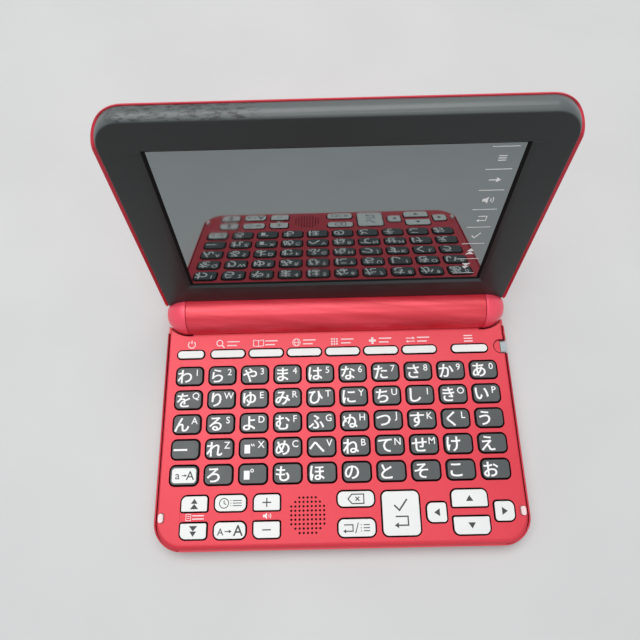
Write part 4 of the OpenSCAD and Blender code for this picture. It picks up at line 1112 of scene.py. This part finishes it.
def keyMarks(column, row):
    kana, latin = kanaRows[row][column], latinRows[row][column]
    marks = []
    if kana != " ":
        for side in (-1, 1):   # struck twice, for weight
            x = legend["kanaX"] + side * legend["double"]
            marks.append(letters(kana, legend["kana"], x, legend["kanaY"], legend["kanaBold"]))
    if latin != " ":
        marks.append(letters(latin, legend["latin"], legend["latinX"], legend["latinY"], legend["latinBold"]))
    if column == legend["voiced"] and row == legend["ringRow"]:      # voicing marks beside a blank square
        marks += [bar(*legend["block"]), ringMark(*legend["ring"])]
    elif column == legend["voiced"] and row == legend["ringRow"] - 1:
        marks.append(bar(*legend["block"]))
        for shift in (0, legend["tickStep"]):
            marks.append(stroke([(x + shift, y) for x, y in legend["tick"]], legend["tickLine"]))
    return marks


def printColumns():
    for column in range(10):
        face = faces[f"keys_col_{column + 1}"]
        marks = []
        for row in range(5):
            marks += moved(keyMarks(column, row), 0, -row * keys["rowPitch"])
        place = Matrix.Translation((face["x"], face["y"], face["top"]))
        printOn(f"legend{column + 1}", marks, place, f"keys_col_{column + 1}", "key_white", printWhite)


def shiftPlate():  # white plate let into the last key of the first column
    look = {"size": (9.7, 5.7), "corner": 1.2, "sunk": 0.1, "proud": 0.12, "shift": 0.1, "edge": 0.06}
    face = faces["keys_col_1"]
    x, y, z = face["x"] + look["shift"], face["y"] - 4 * keys["rowPitch"], face["top"]
    line = roundLine(*look["size"], (look["corner"],) * 4)
    plate = soften(prism("shiftPlate", line, z - look["sunk"], z + look["proud"], x, y), look["edge"])
    finishPiece(plate, "keys_col_1", "key_white", keyWhite)
    marks = [letters("a", 4.4, -2.6, -0.35, 0.02), letters("A", 4.9, 2.5, 0, 0.02),
             stroke([(-0.9, 0), (0.5, 0)], 0.3), wedge(0.75, 0, 1.1, 0.9, -90)]
    place = Matrix.Translation((x, y, z + look["proud"]))
    printOn("shiftMark", marks, place, "keys_col_1", "key_grey", printGrey)


def doubleArrow(turn, w=3.3, h=1.9):
    sign = 1 if turn == 0 else -1
    return [wedge(0, sign * h * 0.52, w * 0.8, h, turn), wedge(0, -sign * h * 0.52, w, h, turn)]


def clockMark(r=2.0, width=0.32):
    return [ringMark(0, 0, r, width), stroke([(0, r * 0.62), (0, 0), (r * 0.5, -r * 0.3)], width)]


def magnifier(r=1.0, width=0.3):
    return [ringMark(-0.3, 0.35, r, width), stroke([(r * 0.45, -r * 0.4), (r * 1.35, -r * 1.3)], width * 1.3)]


def bookMark(w=1.7, h=2.2, width=0.24):
    page = [(0, -h / 2), (0, h / 2 - 0.2), (w, h / 2), (w, -h / 2 + 0.2)]
    return [stroke(page, width, True), stroke([(-x, y) for x, y in page], width, True)]


def globeMark(r=1.25, width=0.22):
    turns = [math.radians(a) for a in range(0, 360, 20)]
    ellipse = [(0.5 * r * math.cos(a), r * math.sin(a)) for a in turns]
    return [ringMark(0, 0, r, width), stroke(ellipse, width, True), stroke([(-r, 0), (r, 0)], width)]


def gridMark(pitch=0.85, size=0.55):
    return [bar(x * pitch, y * pitch, size, size) for x in (-1, 0, 1) for y in (-1, 0, 1)]


def crossMark(size=2.3, width=0.75):
    return [bar(0, 0, size, width), bar(0, (size + width) / 4, width, (size - width) / 2),
            bar(0, -(size + width) / 4, width, (size - width) / 2)]


def swapMark(w=3.0, width=0.26):
    marks = []
    for side in (-1, 1):
        marks.append(stroke([(-side * w / 2, side * 0.55), (side * w / 4, side * 0.55)], width))
        marks.append(wedge(side * w * 0.38, side * 0.55, 0.95, 0.8, -90 * side))
    return marks


def barsMark(w=2.6, h=0.34, gap=0.85):
    return [bar(0, y * gap, w, h) for y in (-1, 0, 1)]


def powerMark(r=1.05, width=0.28):
    return [ringMark(0, 0, r, width, 125, 415), bar(0, r * 0.75, width, r * 0.95)]


def eraseMark(w=5.2, h=2.9, width=0.36, cross=0.62, x=0.5):
    line = [(-w / 2, 0), (-w / 4, h / 2), (w / 2, h / 2), (w / 2, -h / 2), (-w / 4, -h / 2)]
    strokes = [stroke([(x - cross, -side * cross), (x + cross, side * cross)], width) for side in (1, -1)]
    return [stroke(line, width, True), *strokes]


def returnMark(w=3.2, h=2.0, width=0.32):
    return [stroke([(-w / 2 + 0.6, -h / 2), (w / 2, -h / 2), (w / 2, h / 2), (-w / 2 + 0.2, h / 2)], width),
            wedge(-w / 2 + 0.35, -h / 2, 1.3, 1.0, 90)]


def listMark(w=3.0, width=0.3, gap=0.95):
    marks = []
    for y in (-gap, 0, gap):
        marks += [spot(-w / 2, y, width * 0.62, 10), bar(0.35, y, w - 0.9, width)]
    return marks


def tickMark(w=3.0, width=0.42):
    return [stroke([(-w / 2, 0), (-w * 0.12, -w * 0.38), (w / 2, w * 0.42)], width)]


def speakerMark(width=0.22):
    horn = shape((-1.3, -0.4), (-0.7, -0.4), (0, -1.0), (0, 1.0), (-0.7, 0.4), (-1.3, 0.4))
    return [horn] + [ringMark(0, 0, r, width, -38, 38, 8) for r in (0.65, 1.2)]


def pageMark(w=1.9, h=2.3, width=0.22):
    line = [(-w / 2, -h / 2), (w / 2, -h / 2), (w / 2, h / 2), (-w / 2, h / 2)]
    return [stroke(line, width, True), bar(0, 0.4, w * 0.55, width), bar(0, -0.3, w * 0.55, width)]


def printSoftKeys():
    plus, arrow = (3.4, 0.46), (2.9, 2.2)
    arm = (plus[0] - plus[1]) / 4
    plan = {
        "key_page_up": doubleArrow(0), "key_page_down": doubleArrow(180),
        "key_history": moved(clockMark(1.8), -2.5, 0) + moved(listMark(4.4), 2.4, 0),
        "key_text_size": [letters("A", 3.6, -3.6, -0.4, 0.03), stroke([(-1.9, -0.3), (0.0, -0.3)], 0.36),
                          wedge(0.3, -0.3, 1.3, 1.1, -90), letters("A", 5.6, 3.3, 0, 0.05)],
        "key_volume_up": [bar(0, 0, *plus)] + [bar(0, side * (2 * arm + plus[1]) / 2, plus[1], 2 * arm)
                                               for side in (1, -1)],
        "key_volume_down": [bar(0, 0, *plus)],
        "key_delete": moved(eraseMark(), 0, 0, 1.2),
        "key_back": (moved(returnMark(width=0.36), -3.4, 0, 1.15) + moved(listMark(), 3.4, 0, 1.15)
                     + [stroke([(-0.6, -1.9), (0.6, 1.9)], 0.34)]),
        "key_enter": moved(tickMark(width=0.36), 0, 3.0, 1.7) + moved(returnMark(), 0, -2.8, 1.6),
        "key_up": [wedge(0, 0, *arrow)], "key_down": [wedge(0, 0, *arrow, 180)],
        "key_left": [wedge(0, 0, *arrow, 90)], "key_right": [wedge(0, 0, *arrow, -90)],
    }
    for node, marks in plan.items():
        face = faces[node]
        place = Matrix.Translation((face["x"], face["y"], face["top"]))
        name = "mark" + "".join(word.title() for word in node.split("_")[1:])
        printOn(name, marks, place, node, "key_grey", printGrey)


def printDeck():
    look = {"rise": 4.5, "scale": 1.45, "iconX": -3.4, "iconScale": 1.3,
            "lines": ((2.2, 0.95, 5.4, 0.5), (1.6, -0.75, 4.2, 0.5)),
            "pageX": -2.2, "pageLines": ((1.6, 0.6, 4.6, 0.42), (1.6, -0.6, 4.6, 0.42)),
            "speakerX": 0.1, "speakerScale": 1.25}
    plan = {"key_power": powerMark(), "key_jump_1": magnifier(), "key_jump_2": bookMark(),
            "key_jump_3": globeMark(), "key_jump_4": gridMark(), "key_jump_5": crossMark(),
            "key_jump_6": swapMark(), "key_menu": barsMark()}
    marks = []
    for node, icon in plan.items():
        x, y = faces[node]["x"], faces[node]["y"] + look["rise"]
        if node.startswith("key_jump"):   # sign with two lines beside it
            marks += moved(icon, x + look["iconX"], y, look["iconScale"])
            marks += moved([bar(*line) for line in look["lines"]], x, y)
        else:
            marks += moved(icon, x, y, look["scale"])
    x, y = faces["key_page_up"]["x"], (faces["key_page_up"]["y"] + faces["key_page_down"]["y"]) / 2
    marks += moved(pageMark(), x + look["pageX"], y)
    marks += moved([bar(*line) for line in look["pageLines"]], x, y)
    marks += moved(speakerMark(), faces["key_volume_up"]["x"] + look["speakerX"], y, look["speakerScale"])
    printOn("deckPrint", marks, Matrix.Translation((0, 0, shell["top"])), "base", "key_white", printPale)


def outlineStylus():  # parting line of the finger recess beside the stylus
    look = {"radius": 3.0, "breadth": 0.3, "reach": 2.9, "tail": 1.6}
    x, y = shell["halfWidth"] - look["reach"], hinge["y"] - stylusSlot["row"]
    turns = [math.radians(a) for a in range(90, 271, 9)]
    arc = [(x + look["radius"] * math.cos(a), y + look["radius"] * math.sin(a)) for a in turns]
    line = [(x + look["tail"], arc[0][1]), *arc, (x + look["tail"], arc[-1][1])]
    place = Matrix.Translation((0, 0, shell["top"]))
    printOn("recessLine", [stroke(line, look["breadth"])], place, "base", "black_plastic", wellShade)


def printGlass():
    look = {"left": 47.5, "right": 56.0, "top": 82.0, "low": 22.4, "line": 0.26}
    icons = [barsMark(), [stroke([(-2, 0), (0.6, 0)], 0.4), wedge(1.2, 0, 2.0, 1.5, -90)],
             moved(speakerMark(), 0, 0, 1.5), returnMark(), tickMark(), doubleArrow(0, 3.4, 1.6),
             doubleArrow(180, 3.4, 1.6)]
    pitch = (look["top"] - look["low"]) / len(icons)
    width, middle = look["right"] - look["left"], (look["left"] + look["right"]) / 2
    marks = [bar(middle, look["top"] - i * pitch, width, look["line"]) for i in range(len(icons) + 1)]
    for i, icon in enumerate(icons):
        marks += moved(icon, middle, look["top"] - (i + 0.5) * pitch)
    facing = Matrix.Translation((0, 0, lid["glassZ"])) @ Matrix.Rotation(math.pi, 4, "X")
    printOn("screenPrint", marks, lidPlace @ facing, "lid", "key_white", printWhite)


printColumns()
shiftPlate()
printSoftKeys()
printDeck()
outlineStylus()
printGlass()
print("print laid")


carried = {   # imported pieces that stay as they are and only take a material
    "battery_left": cellSleeve, "battery_right": cellSleeve, "battery_contacts": springSteel,
    "main_board": boardGreen, "key_mat": siliconeMat, "speaker": speakerCloth, "case_screws": steel,
    "headphone_jack": blackPlastic, "usb_socket": steel, "hinge_clutch": clutchMetal, "hinge_shaft": steel,
    "lcd_module": lcdGlass, "lcd_frame": springSteel, "display_cable": flexCable,
}
for node, material in carried.items():
    mesh = frame["nodes"][node].data
    mesh.materials.clear()
    mesh.materials.append(material)
print("packed pieces finished")


studio = {
    "air": (0.95, 0.975, 1, 1), "strength": 0.31, "seen": 0.8,   # "seen" is for camera and mirror rays
    "floor": (214, 215, 216), "floorSecond": (209, 210, 211), "floorRough": 0.85, "half": 2.5,
    "glowFrom": 0.3, "glowTo": 1.2, "glow": 0.5,    # keeps the far floor as pale as the near one
}
lamps = {
    "overhead": {"stand": (-0.08, 0.26, 0.8), "target": (0, 0.02, 0), "size": (1.0, 0.5), "power": 5.4,
                 "colour": (1, 0.99, 0.97)},
    "ceiling": {"stand": (0, -0.24, 0.8), "target": (0, 0.02, 0), "size": (0.8, 0.25), "power": 1.45,
                "colour": (1, 0.99, 0.97)},
    "frontFill": {"stand": (0.35, -0.6, 0.5), "target": (0, 0, 0.03), "size": (0.5, 0.4), "power": 0.3,
                  "colour": (0.96, 0.98, 1)},
}


def makeFloor():
    finish = Finish("paleFloor", {"Specular IOR Level": 0.2, "Emission Color": studio["air"]})
    away = finish.add("ShaderNodeVectorMath", {"operation": "LENGTH"})
    finish.links.new(finish.place(), away.inputs[0])
    glow = finish.spread(away.outputs["Value"], studio["glowFrom"], studio["glowTo"], 0, studio["glow"])
    finish.feed(glow, finish.shader.inputs["Emission Strength"])
    cloud = finish.spread(finish.noise(14, 4), 0.3, 0.7)
    colour = finish.blend(cloud, tone(*studio["floor"]), tone(*studio["floorSecond"]))
    finish.wear(colour, studio["floorRough"])
    mesh = bpy.data.meshes.new("floor")
    corners = [(x * studio["half"], y * studio["half"], 0) for x, y in ((-1, -1), (1, -1), (1, 1), (-1, 1))]
    mesh.from_pydata(corners, [], [(0, 1, 2, 3)])
    mesh.materials.append(finish.material)
    newPiece("floor", mesh)


def makeLamp(name, stand, target, size, power, colour):
    data = bpy.data.lights.new(name, "AREA")
    data.shape = "RECTANGLE"
    data.size, data.size_y = size
    data.energy = power
    data.color = colour
    lamp = newPiece(name, data)
    lamp.location = stand
    lamp.rotation_euler = (Vector(target) - Vector(stand)).to_track_quat("-Z", "Y").to_euler()


def makeWorld():
    world = bpy.data.worlds.new("studio")
    bpy.context.scene.world = world
    world.use_nodes = True
    nodes, links = world.node_tree.nodes, world.node_tree.links
    background = nodes["Background"]
    background.inputs["Color"].default_value = studio["air"]
    path = nodes.new("ShaderNodeLightPath")
    direct = path.outputs["Is Camera Ray"]
    for kind in ("Is Glossy Ray", "Is Transmission Ray"):
        either = nodes.new("ShaderNodeMath")
        either.operation = "MAXIMUM"
        links.new(direct, either.inputs[0])
        links.new(path.outputs[kind], either.inputs[1])
        direct = either.outputs[0]
    mix = nodes.new("ShaderNodeMix")
    mix.inputs[2].default_value, mix.inputs[3].default_value = studio["strength"], studio["seen"]
    links.new(direct, mix.inputs[0])
    links.new(mix.outputs[0], background.inputs["Strength"])


def makeCamera():
    eye = {"focal": 484.4217, "frame": 640, "sensor": 36,          # focal length and frame in pixels
           "x": -5.5416, "y": -37.1863, "z": 213.0002,             # in mm
           "pitch": 1.264414, "yaw": -0.019336, "roll": 0.042566}  # in radians
    a, b, c = eye["pitch"], eye["yaw"], eye["roll"]
    ahead = Vector((math.sin(b) * math.cos(a), math.cos(b) * math.cos(a), -math.sin(a)))
    right = Vector((math.cos(b), -math.sin(b), 0))
    down = ahead.cross(right)
    across = math.cos(c) * right + math.sin(c) * down
    below = -math.sin(c) * right + math.cos(c) * down
    data = bpy.data.cameras.new("photoView")
    data.sensor_width = eye["sensor"]
    data.lens = eye["focal"] * eye["sensor"] / eye["frame"]
    data.clip_start = 0.01
    camera = newPiece("photoView", data)
    turn = Matrix((across, -below, -ahead)).transposed().to_4x4()
    camera.matrix_world = Matrix.Translation(Vector((eye["x"], eye["y"], eye["z"])) * mm) @ turn
    bpy.context.scene.camera = camera


makeFloor()
makeWorld()
for name, lamp in lamps.items():
    makeLamp(name, **lamp)
makeCamera()
bpy.context.scene.view_settings.view_transform = "Standard"

print("stage set")
